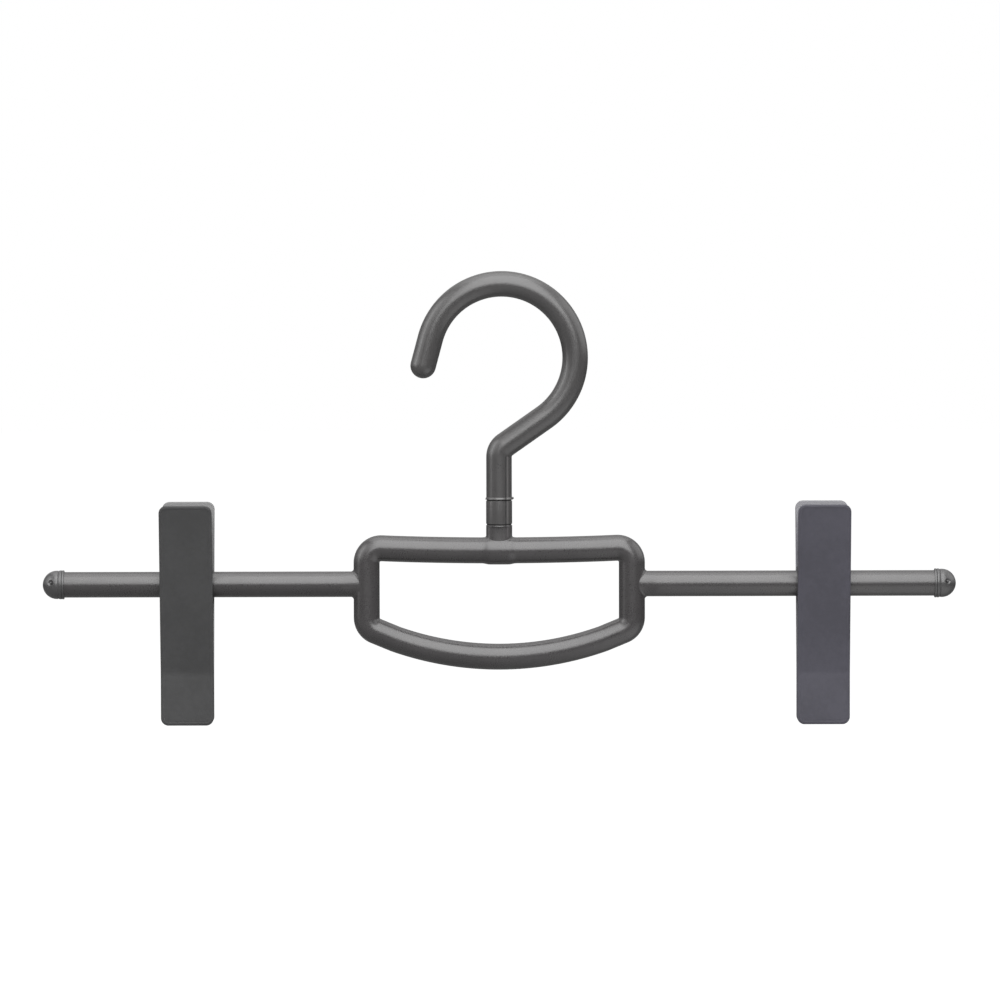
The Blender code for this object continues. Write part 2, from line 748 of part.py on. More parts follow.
def least_gap(path, diameter):
    """Least gap between points of a wire that lie more than half a turn apart along it."""
    parts_of_step = 8
    apart = parts_of_step * round(COIL_POINTS_PER_TURN / 2)
    fine = []
    for a, b in zip(path, path[1:]):
        fine += [a.lerp(b, i / parts_of_step) for i in range(parts_of_step)]
    gaps = [
        (fine[i] - fine[j]).length - diameter
        for i in range(len(fine))
        for j in range(i + apart, len(fine))
    ]
    return min(gaps)


def make_spring(side, parts, axis):
    path = spring_path()
    spring = tube(f"{side}_torsion_spring", path, WIRE_DIAMETER / 2, WIRE_SIDES, parts)
    spring.parent = axis
    print(f"{side} spring: least gap to itself {least_gap(path, WIRE_DIAMETER) * 1000:.2f} mm")
    as_part(spring, "spring", WIRE_SMOOTH_DEG)


def make_pad(side, name, face, parts, cutters, axis):
    """A ribbed pad, ribs across the jaw, held by two studs on its back."""
    back = GRIP_GAP / 2 + PAD_THICKNESS
    tip = GRIP_GAP / 2
    root = tip + PAD_RIB_HEIGHT
    pitch = PAD_HEIGHT / PAD_RIBS
    low = PAD_Z - PAD_HEIGHT / 2
    outline = [(face * back, low), (face * back, low + PAD_HEIGHT)]
    foot_half = pitch * RIB_FOOT_SHARE / 2
    tip_half = pitch * RIB_TIP_SHARE / 2
    for i in reversed(range(PAD_RIBS)):
        middle = low + (i + 0.5) * pitch
        outline += [
            (face * root, middle + foot_half),
            (face * tip, middle + tip_half),
            (face * tip, middle - tip_half),
            (face * root, middle - foot_half),
        ]
    pad = prism(
        f"{side}_{name}", outline, PAD_WIDTH, parts, axis, turned_to=IN_YZ_PLANE
    )
    stud_end = back + PAD_STUD_LENGTH
    stud_length = PAD_STUD_LENGTH + SINK
    for sign in (-1, 1):
        stud = cylinder(
            f"{side} {name} stud {sign:+d}",
            PAD_STUD_RADIUS,
            stud_length,
            cutters,
            axis,
            at=(sign * PAD_STUD_SPACING / 2, face * (stud_end - stud_length / 2), PAD_Z),
            turned_to=ACROSS_Y,
        )
        joined(pad, as_cutter(stud))
    as_part(pad, "pad")


def make_clip(side, x, parts, cutters, swivel):
    """A clip centred at x on its arm. Its pieces hang from an empty on the arm's axis."""
    axis = axis_at(f"{side} clip axis", parts, swivel, (x, 0, ARM_Z - swivel.location.z))
    make_sleeve(side, parts, axis)
    make_jaw(side, "rear_jaw", REAR, REAR_EAR_X, -LEG_X, parts, cutters, axis)
    make_jaw(side, "front_jaw", FRONT, FRONT_EAR_X, LEG_X, parts, cutters, axis)
    make_spring(side, parts, axis)
    make_pad(side, "rear_pad", REAR, parts, cutters, axis)
    make_pad(side, "front_pad", FRONT, parts, cutters, axis)


def main():
    clear_scene()
    parts = new_collection("clip hanger")
    cutters = new_collection("cutters")
    make_hook(parts, cutters)
    swivel = axis_at("swivel axis", parts, None, (0, 0, COLLAR_TOP_Z))
    make_collar(parts, swivel)
    make_frame(parts, cutters, swivel)
    for side, sign in (("left", -1), ("right", 1)):
        make_end_cap(side, sign, parts, swivel)
    make_clip("left", LEFT_CLIP_X, parts, cutters, swivel)
    make_clip("right", RIGHT_CLIP_X, parts, cutters, swivel)


main()
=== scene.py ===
# %% [markdown]
# # A clip hanger, dressed for its photograph
# The hanger is moulded plastic: a hook that turns in the neck of a loop-shaped frame, two arms
# with domed end caps, and two sprung clips that slide on the arms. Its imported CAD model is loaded
# first. It fixes where everything is and how it moves, and the pieces made here are laid over it.

import math

import bmesh
import bpy
import numpy as np
from mathutils import Matrix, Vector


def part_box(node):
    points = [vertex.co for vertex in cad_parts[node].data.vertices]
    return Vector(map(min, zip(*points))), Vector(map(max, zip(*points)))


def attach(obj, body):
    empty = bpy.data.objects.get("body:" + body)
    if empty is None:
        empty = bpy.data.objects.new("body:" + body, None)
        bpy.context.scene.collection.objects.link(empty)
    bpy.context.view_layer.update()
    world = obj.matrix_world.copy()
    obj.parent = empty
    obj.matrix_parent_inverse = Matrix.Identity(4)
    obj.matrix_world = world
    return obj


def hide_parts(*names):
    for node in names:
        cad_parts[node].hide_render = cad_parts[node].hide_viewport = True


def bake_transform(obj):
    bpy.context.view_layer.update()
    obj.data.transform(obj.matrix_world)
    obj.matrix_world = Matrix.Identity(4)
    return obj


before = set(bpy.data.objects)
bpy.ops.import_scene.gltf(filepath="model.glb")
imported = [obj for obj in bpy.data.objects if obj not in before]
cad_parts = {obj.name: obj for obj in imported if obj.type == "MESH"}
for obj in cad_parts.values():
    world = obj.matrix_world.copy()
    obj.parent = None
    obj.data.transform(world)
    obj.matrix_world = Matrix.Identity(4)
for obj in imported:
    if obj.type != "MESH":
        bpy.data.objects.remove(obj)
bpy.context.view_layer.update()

# %% [markdown]
# ## The sizes
# A dressed piece has to lie where its solid lies, so the same sizes are used again, in metres.
# The origin is where the rail bears inside the hook, and the arms lie 125.8 mm below it. Where a
# place can be read off a solid instead, it is: each clip's middle comes from the box of its
# sleeve.

# %% Sizes of the hanger
MM = 0.001
ARM_Z = -125.8 * MM
COLLAR_TOP_Z = ARM_Z + 36.6 * MM
BOSS_TOP_Z = COLLAR_TOP_Z - 10.6 * MM
BAR_Z = ARM_Z + 14.7 * MM
FIT = 0.3 * MM
SIDES = {"left": -1, "right": 1}
HALVES = {"rear": 1.0, "front": -1.0}


def middle_x(node):
    """Half-way between the lowest and highest x of a solid."""
    low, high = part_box(node)
    return (low.x + high.x) / 2


clip_x = {side: middle_x(f"{side}_pivot_sleeve") for side in SIDES}
print("clips stand at x, mm:", {side: round(x / MM, 2) for side, x in clip_x.items()})

# %% [markdown]
# ## Small formulas
# A round section needs even angles, a rounded edge a quarter circle, an arc even steps, and what
# fades in or out a soft step or a hump. Each is written once here.


# %% Formulas used by several pieces
def round_angles(count):
    """2 pi i / count for each i below count."""
    return 2 * np.pi * np.arange(count) / count


def unit(vectors):
    """Each vector divided by its own length."""
    return vectors / np.linalg.norm(vectors, axis=-1, keepdims=True)


def quarter(depth, radius):
    """sqrt(r^2 - (r - depth)^2) for a depth from 0 to the radius r, and r for any greater
    depth."""
    rest = radius - np.clip(depth, 0, radius)
    return np.sqrt(np.maximum(radius**2 - rest**2, 0))


def arc_between(start, end, angle, t):
    """(start sin((1 - t) angle) + end sin(t angle)) / sin(angle), with t from 0 to 1."""
    return (np.sin((1 - t) * angle) * start + np.sin(t * angle) * end) / np.sin(angle)


def smooth(value, low, high):
    """0 below low and 1 above high, and 3t^2 - 2t^3 between them."""
    t = np.clip((value - low) / (high - low), 0, 1)
    return t * t * (3 - 2 * t)


def hump(away, width):
    """exp(-(away / width)^2)."""
    return np.exp(-((away / width) ** 2))


def squarish(count, half_width, half_depth, power):
    """A rounded oblong: angle a has the radius (|cos a / width|^p + |sin a / depth|^p)^(-1/p),
    with half the width and half the depth."""
    a = round_angles(count)
    c, s = np.cos(a), np.sin(a)
    radius = (np.abs(c / half_width) ** power + np.abs(s / half_depth) ** power) ** (-1 / power)
    return np.stack([radius * c, radius * s], axis=-1)


def corners_mm(spots, base=0.0):
    """Profile corners in metres, from (radius, distance beyond base) pairs in millimetres."""
    return np.array(spots, float) * MM + (0, base)


def placed(name, data):
    """A new object at the origin, linked to the scene."""
    obj = bpy.data.objects.new(name, data)
    bpy.context.scene.collection.objects.link(obj)
    return obj


# %% [markdown]
# ## Grids that become skins
# Every piece below is a grid of points: rows along it and columns round it. Blender could sweep a
# curve or spin a profile as well, but a grid worked out with numpy keeps each formula in sight.
# Here the grid gets its faces. A row whose points all fall together is a pole, and merging them
# closes the skin there.


# %% Faces for a grid, and a mesh from it
def grid_faces(rows, columns, joined_rows=False):
    """Square (i, j) joins the points (i, j), (i, j+1), (i+1, j+1) and (i+1, j). The columns run
    round and meet again; the rows do so only for a ring."""
    i = np.arange(rows if joined_rows else rows - 1)[:, None]
    j = np.arange(columns)[None, :]
    i_next, j_next = (i + 1) % rows, (j + 1) % columns
    corners = np.broadcast_arrays(
        i * columns + j, i * columns + j_next, i_next * columns + j_next, i_next * columns + j
    )
    return np.stack(corners, axis=-1).reshape(-1, 4)


def lay_uv(mesh, rows, columns, size):
    """UV of a corner: u is its share of the way round and v its share of the way along, times
    size."""
    u = np.tile(np.arange(columns) / columns, rows) * size[0]
    v = np.repeat(np.arange(rows) / rows, columns) * size[1]
    of_corner = np.zeros(len(mesh.loops), np.int32)
    mesh.loops.foreach_get("vertex_index", of_corner)
    layer = mesh.uv_layers.new(name="along")
    layer.data.foreach_set("uv", np.stack([u, v], axis=-1)[of_corner].astype(np.float32).ravel())


def skin(name, points, ring=False, uv=None):
    """A closed mesh from a rows x columns x 3 array of points."""
    rows, columns = points.shape[:2]
    mesh = bpy.data.meshes.new(name)
    mesh.from_pydata(points.reshape(-1, 3), [], grid_faces(rows, columns, ring))
    if uv:
        lay_uv(mesh, rows, columns, uv)
    return closed(mesh)


def two_faced(name, front, back, capped=False):
    """A closed mesh from two grids of one size. Each row of the front runs on into the back's row
    in reverse, and capped also closes the first row and the last."""
    rows, count = front.shape[:2]
    faces = [grid_faces(rows, 2 * count)]
    i = np.arange(count - 1)
    for base in (0, (rows - 1) * 2 * count) if capped else ():
        faces.append(base + np.stack([i, i + 1, 2 * count - 2 - i, 2 * count - 1 - i], axis=-1))
    points = np.concatenate([front, back[:, ::-1]], axis=1)
    mesh = bpy.data.meshes.new(name)
    mesh.from_pydata(points.reshape(-1, 3), [], np.concatenate(faces))
    return closed(mesh)


def closed(mesh):
    """Merges points that fall together and turns all faces outwards."""
    bm = bmesh.new()
    bm.from_mesh(mesh)
    bmesh.ops.remove_doubles(bm, verts=bm.verts, dist=1e-7)
    bmesh.ops.dissolve_degenerate(bm, edges=bm.edges, dist=1e-8)
    bmesh.ops.recalc_face_normals(bm, faces=bm.faces)
    bm.to_mesh(mesh)
    bm.free()
    return mesh


# %% [markdown]
# ## A profile carried along a path
# The hook, the loop and the spring wire are all a round section carried along a line. Each point
# of the line needs two directions, square to it and to each other. The section's radius may
# change on the way, which makes flanges, swellings and round ends.


# %% The sweep
def sweep(path, radius, columns, side, along=None):
    """Point (i, j) = path point i + radius i * (cos(a) * out + sin(a) * side), at a = 2 pi j /
    columns. out is square to the path's direction and to side. along gives the directions where
    path points fall together, as at a step in the radius."""
    direction = unit(np.gradient(path, axis=0)) if along is None else along
    out = unit(np.cross(side, direction))
    across = unit(np.cross(direction, out))
    a = round_angles(columns)
    spoke = np.cos(a)[None, :, None] * out[:, None] + np.sin(a)[None, :, None] * across[:, None]
    return path[:, None] + np.asarray(radius)[:, None, None] * spoke


def turned(profile, columns):
    """A profile of (radius r, distance) spun round the z axis: (r cos(a), r sin(a), distance)."""
    radius, far = np.asarray(profile, float).T[:, :, None]
    a = round_angles(columns)
    return np.stack([radius * np.cos(a), radius * np.sin(a), far + 0 * a], axis=-1)


def on_arm(profile, columns, x0=0.0, sign=1.0):
    """The same round the arm's axis: (x0 + sign * distance, r cos(a), arm + r sin(a))."""
    return turned(profile, columns)[..., [2, 0, 1]] * (sign, 1, 1) + (x0, 0, ARM_Z)


def eased(corners, radius, steps=6):
    """A profile of (radius, distance) corners with each inner corner rounded: the two tangent
    points lie at most radius from the corner, and the points between follow a parabola that
    touches both lines there."""
    corners = np.asarray(corners, float)
    reach = np.broadcast_to(np.asarray(radius, float), (len(corners),))
    before, here, after = corners[:-2], corners[1:-1], corners[2:]
    back, ahead = before - here, after - here
    limit = np.minimum(np.linalg.norm(back, axis=1), np.linalg.norm(ahead, axis=1)) * 0.48
    cut = np.minimum(reach[1:-1], limit)[:, None]
    start, end = here + unit(back) * cut, here + unit(ahead) * cut
    t = np.linspace(0, 1, steps + 1)[None, :, None]
    bends = (1 - t) ** 2 * start[:, None] + 2 * t * (1 - t) * here[:, None] + t**2 * end[:, None]
    return np.concatenate([corners[:1], bends.reshape(-1, 2), corners[-1:]])


# %% [markdown]
# ## Joining and cutting
# A frame is moulded in one shot, so its arms, loop and boss are one skin. Blender's exact Boolean
# joins closed meshes cleanly. The result is copied out of the modifier, and what it used is
# removed.


# %% Exact joins and cuts
def carved(name, base, adds=(), cuts=()):
    """base with every mesh of adds joined and every mesh of cuts taken away, as one new mesh."""
    body = placed(name, base)
    tools = []
    for operation, meshes in (("UNION", adds), ("DIFFERENCE", cuts)):
        for mesh in meshes:
            tools.append(placed(mesh.name, mesh))
            step = body.modifiers.new(mesh.name, "BOOLEAN")
            step.operation, step.solver, step.object = operation, "EXACT", tools[-1]
    joined = body.evaluated_get(bpy.context.evaluated_depsgraph_get())
    result = bpy.data.meshes.new_from_object(joined)
    for used in (body, *tools):
        bpy.data.objects.remove(used, do_unlink=True)
    result.name = name
    return result


def add_piece(name, mesh, body, material, sharp=32.0):
    """Puts a finished mesh in the scene in place of the CAD node of the same name."""
    mesh.name = name
    mesh.materials.clear()
    mesh.materials.append(material)
    mesh.shade_smooth()
    mesh.set_sharp_from_angle(angle=math.radians(sharp))
    obj = placed(f"{name}_skin", mesh)
    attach(obj, body)
    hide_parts(name)
    mesh.calc_loop_triangles()
    print(f"{name}: {len(mesh.loop_triangles)} triangles")


# %% [markdown]
# ## Finishes: effects that several plastics share
# Injection-moulded plastic is never one flat colour. The mould leaves a fine grain and the pigment
# is a little uneven. Edges are painted paler, as edges worn by rubbing and, where strongly paled,
# as painted highlight. Thin lines in a plane are painted too: dark ones are painted shade in
# grooves and slits, light ones painted highlight, as along the line where the mould's halves met.
# Each effect is a node group with its own inputs, so that every material can use it at its own
# strength.


# %% Nodes, sockets and groups
def new_group(name, inputs, outputs):
    """An empty shader group, its inputs' values and its outputs. inputs gives each one's start
    value, or None for a vector."""
    group = bpy.data.node_groups.new(name, "ShaderNodeTree")
    for title, value in inputs.items():
        kind = "NodeSocketVector" if value is None else "NodeSocketFloat"
        socket = group.interface.new_socket(title, in_out="INPUT", socket_type=kind)
        if value is not None:
            socket.default_value = value
    for title in outputs:
        group.interface.new_socket(title, in_out="OUTPUT", socket_type="NodeSocketFloat")
    given, out = group.nodes.new("NodeGroupInput"), group.nodes.new("NodeGroupOutput")
    return group, given.outputs, out.inputs


def feed(tree, socket, value):
    """Links value to the socket where it is a socket itself, and sets it as the number
    otherwise."""
    if isinstance(value, bpy.types.NodeSocket):
        tree.links.new(value, socket)
    else:
        socket.default_value = value


def math_node(tree, operation, *values, clamp=False):
    """A Math node fed with one, two or three sockets or numbers."""
    node = tree.nodes.new("ShaderNodeMath")
    node.operation, node.use_clamp = operation, clamp
    for socket, value in zip(node.inputs, values):
        feed(tree, socket, value)
    return node.outputs[0]


def split_xyz(tree, vector):
    """The outputs X, Y and Z of a vector."""
    node = tree.nodes.new("ShaderNodeSeparateXYZ")
    tree.links.new(vector, node.inputs[0])
    return node.outputs


def ramp_node(tree, value, low, high, out_low=0.0, out_high=1.0):
    """Smoothly from out_low to out_high while value goes from low to high."""
    node = tree.nodes.new("ShaderNodeMapRange")
    node.interpolation_type = "SMOOTHSTEP"
    sources = (value, low, high, out_low, out_high)
    for title, source in zip(("Value", "From Min", "From Max", "To Min", "To Max"), sources):
        feed(tree, node.inputs[title], source)
    return node.outputs["Result"]


def noise_node(tree, vector, scale, detail=2.0, roughness=0.5):
    """A noise texture's single value. scale is a number or a socket, in waves per metre."""
    node = tree.nodes.new("ShaderNodeTexNoise")
    node.inputs["Detail"].default_value = detail
    node.inputs["Roughness"].default_value = roughness
    tree.links.new(vector, node.inputs["Vector"])
    feed(tree, node.inputs["Scale"], scale)
    return node.outputs["Fac"]


# %% [markdown]
# ### The three effects
# Grain and mottle share one group, because every moulded piece needs both.


# %% Grain, pale edges and painted lines
def make_mould_grain():
    """Height: fine noise of the sparked mould, plus slow waves where the plastic shrank. Mottle:
    how light the pigment is, from clouds of two sizes, 0.5 on average."""
    inputs = {"Vector": None, "Grain per metre": 2500.0, "Waves": 0.5}
    group, given, out = new_group("mould grain", inputs, ["Height", "Mottle"])
    place = given["Vector"]
    fine = noise_node(group, place, given["Grain per metre"], 2.0, 0.6)
    waves = math_node(group, "MULTIPLY", noise_node(group, place, 130.0), given["Waves"])
    group.links.new(math_node(group, "ADD", fine, waves), out["Height"])
    clouds = math_node(group, "MULTIPLY", noise_node(group, place, 45.0, 3.0, 0.55), 0.65)
    flecks = noise_node(group, place, 420.0, 2.0, 0.6)
    mixed = math_node(group, "MULTIPLY_ADD", flecks, 0.35, clouds)
    group.links.new(ramp_node(group, mixed, 0.34, 0.66), out["Mottle"])
    return group


def make_worn_and_sheen_edges():
    """Mask: how far the true normal leans from one rounded over Radius, which is large only on
    edges, broken up by noise so that the pale edges are patchy: worn by rubbing, and painted
    highlight where a material pales them strongly."""
    inputs = {"Vector": None, "Radius": 0.0005, "Amount": 0.5}
    group, given, out = new_group("worn and sheen edges", inputs, ["Mask"])
    bevel = group.nodes.new("ShaderNodeBevel")
    bevel.samples = 6
    group.links.new(given["Radius"], bevel.inputs["Radius"])
    geometry = group.nodes.new("ShaderNodeNewGeometry")
    dot = group.nodes.new("ShaderNodeVectorMath")
    dot.operation = "DOT_PRODUCT"
    group.links.new(bevel.outputs["Normal"], dot.inputs[0])
    group.links.new(geometry.outputs["Normal"], dot.inputs[1])
    edge = ramp_node(group, dot.outputs["Value"], 0.995, 0.86)
    patches = ramp_node(group, noise_node(group, given["Vector"], 260.0, 3.0), 0.25, 0.50)
    worn = math_node(group, "MULTIPLY", edge, patches)
    amount = math_node(group, "MULTIPLY", worn, given["Amount"], clamp=True)
    group.links.new(amount, out["Mask"])
    return group


def make_line_in_plane():
    """Mask: 1 on the plane where Coordinate equals At, falling to 0 over Half width, and only
    while Height along lies between Low and High."""
    inputs = {"Coordinate": 0.0, "At": 0.0, "Half width": 0.0001}
    inputs |= {"Height along": 0.0, "Low": -1.0, "High": 1.0}
    group, given, out = new_group("painted line", inputs, ["Mask"])
    coordinate, at, half_width, height, low, high = given[:6]
    away = math_node(group, "ABSOLUTE", math_node(group, "SUBTRACT", coordinate, at))
    line = ramp_node(group, away, 0.0, half_width, 1.0, 0.0)
    above = math_node(group, "GREATER_THAN", height, low)
    within = math_node(group, "MULTIPLY", above, math_node(group, "LESS_THAN", height, high))
    group.links.new(math_node(group, "MULTIPLY", line, within), out["Mask"])
    return group


mould_grain = make_mould_grain()
worn_and_sheen_edges = make_worn_and_sheen_edges()
painted_line_mask = make_line_in_plane()
print("node groups:", [group.name for group in bpy.data.node_groups])

# %% [markdown]
# ## The plastics
# A charcoal plastic has a dark pigment and a clear glossy skin that the mould has dulled. The
# colour is mixed between a darker and a lighter tone by the mottle. Edges are painted lighter and
# made smoother: worn by rubbing, and on the clips, which pale them far more, painted highlight as
# well. Roughness follows the grain a little, so that a highlight is never quite even.


# %% Colours and shader inputs
def set_all(tree, sockets, values):
    """Feeds each value to the socket of its name, in which an underscore stands for a space."""
    for title, value in values.items():
        feed(tree, sockets[title.replace("_", " ")], value)


def place_group(tree, group, **values):
    """The outputs of a new node for the group, fed with the values."""
    node = tree.nodes.new("ShaderNodeGroup")
    node.node_tree = group
    set_all(tree, node.inputs, values)
    return node.outputs


def mix_colour(tree, factor, first, second):
    """A colour between two, each given as (red, green, blue) or as a socket."""
    node = tree.nodes.new("ShaderNodeMix")
    node.data_type = "RGBA"
    tree.links.new(factor, node.inputs["Factor"])
    for socket, colour in ((node.inputs[6], first), (node.inputs[7], second)):
        feed(tree, socket, (*colour, 1.0) if isinstance(colour, tuple) else colour)
    return node.outputs[2]


def shaded(colour, share):
    """The colour with each channel times share."""
    return tuple(channel * share for channel in colour)


def new_material(name, **values):
    """A material, its node tree and the inputs of its Principled shader, fed with the values."""
    material = bpy.data.materials.new(name)
    material.use_nodes = True
    tree = material.node_tree
    inputs = tree.nodes["Principled BSDF"].inputs
    set_all(tree, inputs, values)
    return material, tree, inputs


def object_place(tree):
    """The place on the object, in metres."""
    return tree.nodes.new("ShaderNodeTexCoord").outputs["Object"]


def dress(tree, inputs, colour, rough, height, depth):
    """Feeds the shader its colour, its roughness and a relief: height is the relief's shape and
    depth its size in metres."""
    bump = tree.nodes.new("ShaderNodeBump")
    set_all(tree, bump.inputs, {"Distance": depth, "Height": height})
    relief = bump.outputs["Normal"]
    set_all(tree, inputs, {"Base Color": colour, "Roughness": rough, "Normal": relief})


def polish_inside(tree, inputs, split, rough, near_y, lean, low_z):
    """A clear coat and less roughness where |y| is under near_y, which grows by lean for each
    metre above low_z. Gives back the roughness."""
    above = math_node(tree, "MAXIMUM", math_node(tree, "SUBTRACT", split["Z"], low_z), 0.0)
    limit = math_node(tree, "MULTIPLY_ADD", above, lean, near_y)
    within = math_node(tree, "LESS_THAN", math_node(tree, "ABSOLUTE", split["Y"]), limit)
    set_all(tree, inputs, {"Coat Weight": within, "Coat Roughness": 0.36, "Coat IOR": 1.7})
    return math_node(tree, "MULTIPLY_ADD", within, -0.17, rough)


# %% [markdown]
# ### Plastics from the mould
# The hook, the frame and the caps come from polished moulds: their grain is low and wide. They
# carry painted lines: painted shade in the neck's grooves and slit and in the caps' grooves, and
# painted highlight beside the slit and along the line where the mould's halves met. The sleeves
# have a finer grain and no lines.


# %% Plastics
def plastic(
    name, colour, roughness, grain, depth, edge_amount=0.4, edge_paleness=1.9, gloss=0.5, lines=(), inside=None
):
    """A moulded plastic. grain is in waves per metre, depth in metres, gloss is the strength of
    the clear reflection, edge_amount is how much of the edge mask is used and edge_paleness says
    how
    much paler the edges are painted: worn by rubbing, and where it is large, painted highlight.
    lines
    are painted lines, each (axis, at, half width, low, high, tone): a tone under 1 paints shade and
    dulls the line, one over 1 paints a highlight. inside is (near y, lean, low z) for
    polish_inside, where the mould was left smooth."""
    material, tree, inputs = new_material(name, Specular_IOR_Level=gloss)
    place = object_place(tree)
    surface = place_group(tree, mould_grain, Vector=place, Grain_per_metre=grain)
    worn_and_sheen_mask = place_group(tree, worn_and_sheen_edges, Vector=place, Amount=edge_amount)["Mask"]
    tone = mix_colour(tree, surface["Mottle"], shaded(colour, 0.90), shaded(colour, 1.10))
    # Paler edges: worn by rubbing, and where strongly paled, as on the clips, painted highlight.
    tone = mix_colour(tree, worn_and_sheen_mask, tone, shaded(colour, edge_paleness))
    height, split, dull = surface["Height"], split_xyz(tree, place), 0.0
    # Each line is painted into the colour: a darker tone is painted shade, which also raises the
    # roughness, and a lighter tone is painted highlight.
    for axis, at, half_width, low, high, shade in lines:
        where = dict(Coordinate=split[axis], Height_along=split["Z"])
        size = dict(At=at, Half_width=half_width, Low=low, High=high)
        line = place_group(tree, painted_line_mask, **where, **size)["Mask"]
        tone = mix_colour(tree, line, tone, shaded(colour, shade))
        dull = math_node(tree, "MAXIMUM", dull, line) if shade < 1 else dull
    uneven = ramp_node(tree, height, 0.3, 1.1, roughness - 0.04, roughness + 0.05)
    worn = math_node(tree, "MULTIPLY_ADD", worn_and_sheen_mask, -0.12, uneven)
    if lines:
        worn = math_node(tree, "MULTIPLY_ADD", dull, 1.0 - roughness, worn, clamp=True)
    if inside:
        worn = polish_inside(tree, inputs, split, worn, *inside)
    dress(tree, inputs, tone, worn, height, depth)
    return material


# A real mould line along y = 0, painted lighter: painted highlight in place of the gleam of a
# raised line.
PARTING_LINE_HIGHLIGHT = ("Y", 0.0, 0.10 * MM, -1.0, 1.0, 1.15)
# A dark line up the neck at x = 2.9 mm: painted shade of a narrow slit that is not modelled, with
# its gloss dulled.
SEAM_SHADE = ("X", 2.9 * MM, 0.42 * MM, ARM_Z + 25.4 * MM, ARM_Z + 56.0 * MM, 0.05)
# A pale band just beside it: painted highlight on the slit's edge.
SEAM_EDGE_HIGHLIGHT = ("X", 3.75 * MM, 0.55 * MM, ARM_Z + 20.6 * MM, ARM_Z + 56.0 * MM, 2.3)
# Dark lines at the gaps on either side of the collar: painted shade in the grooves.
groove_z = [z + 0.2 * MM for z in (COLLAR_TOP_Z, BOSS_TOP_Z)]
NECK_GROOVE_SHADE = [("Z", z, 0.42 * MM, -1.0, 1.0, 0.1) for z in groove_z]
NECK_PAINTED_LINES = (PARTING_LINE_HIGHLIGHT, SEAM_EDGE_HIGHLIGHT, SEAM_SHADE, *NECK_GROOVE_SHADE)
# Dark lines at each cap's bead groove and the groove behind it: painted shade in the grooves, the
# second one faint.
CAP_GROOVE_SHADE = [
    ("X", sign * at, 0.24 * MM, -1.0, 1.0, shade)
    for sign in (-1, 1)
    for at, shade in ((191.55 * MM, 0.3), (193.05 * MM, 0.9))
]
glossy_mould = dict(grain=1500.0, depth=0.018 * MM, gloss=0.9)
hook_plastic = plastic(
    "hook plastic", (0.051, 0.049, 0.049), 0.30, lines=NECK_PAINTED_LINES, **glossy_mould
)
frame_plastic = plastic(
    "frame plastic", (0.043, 0.040, 0.041), 0.28, lines=NECK_PAINTED_LINES, **glossy_mould
)
cap_plastic = plastic("cap plastic", (0.054, 0.053, 0.054), 0.30, lines=CAP_GROOVE_SHADE, **glossy_mould)
sleeve_plastic = plastic("sleeve plastic", (0.040, 0.040, 0.042), 0.45, 2200.0, 0.010 * MM)

# %% [markdown]
# ## Rubber and spring wire
# The grip pads are soft rubber: almost black, dull, with a pale bloom of dust in soft clouds. The
# spring is drawn wire. Drawing pulls fine scratches along it, so its noise is squeezed round the
# wire and stretched along it, with the UV that the sweep laid down.


# %% Pad rubber and wire
def rubber(name, colour):
    """A dull rubber with a fine grain and a pale bloom in soft clouds."""
    material, tree, inputs = new_material(name, Specular_IOR_Level=0.35)
    place = object_place(tree)
    surface = place_group(tree, mould_grain, Vector=place, Grain_per_metre=2600.0, Waves=0.3)
    tone = mix_colour(tree, surface["Mottle"], colour, shaded(colour, 1.8))
    rough = ramp_node(tree, surface["Height"], 0.3, 0.9, 0.78, 0.92)
    dress(tree, inputs, tone, rough, surface["Height"], 0.03 * MM)
    return material


def drawn_wire(name, colour):
    """Bright steel whose roughness and tone follow scratches drawn out along the wire."""
    material, tree, inputs = new_material(name, Metallic=1.0)
    way = tree.nodes.new("ShaderNodeUVMap")
    way.uv_map = "along"
    stretch = tree.nodes.new("ShaderNodeMapping")
    stretch.inputs["Scale"].default_value = (9.0, 1.2, 1.0)
    tree.links.new(way.outputs["UV"], stretch.inputs["Vector"])
    scratches = noise_node(tree, stretch.outputs["Vector"], 6.0, 4.0, 0.7)
    tone = mix_colour(tree, scratches, shaded(colour, 0.72), shaded(colour, 1.12))
    rough = ramp_node(tree, scratches, 0.3, 0.7, 0.24, 0.42)
    dress(tree, inputs, tone, rough, scratches, 0.006 * MM)
    return material


pad_rubber = rubber("pad rubber", (0.022, 0.022, 0.023))
spring_steel = drawn_wire("spring steel", (0.56, 0.56, 0.55))
print("materials so far:", [material.name for material in bpy.data.materials])

# %% [markdown]
# ## The hook
# The hook is an 11.2 mm round bar. From the neck it goes up, leans to the right and runs round a
# crook of 26.6 mm inside radius to a short straight tip with a round end. Below it, in the same
# moulding, are a thin flange and the shank that snaps into the neck. One sweep makes all of it:
# only the radius changes along the path.


# %% The hook's line
def corner_arc(before, corner, after, radius, steps):
    """Points of the arc of that radius that touches both lines of a corner, in the plane y =
    0."""
    back, ahead = unit(before - corner), unit(after - corner)
    half = math.acos(float(back @ ahead)) / 2
    centre = corner + unit(back + ahead) * radius / math.sin(half)
    start = corner + back * radius / math.tan(half) - centre
    end = corner + ahead * radius / math.tan(half) - centre
    t = np.linspace(0, 1, steps)[:, None]
    return centre + arc_between(start, end, math.pi - 2 * half, t)


HOOK_R, CROOK_R = 5.6 * MM, 32.2 * MM
CROOK_FROM, CROOK_TO = -55.0, 165.0
STEM_BEND_R, TIP_RUN = 6.3 * MM, 12.2 * MM
crook_centre = np.array([1.2 * MM, 0.0, -26.6 * MM])


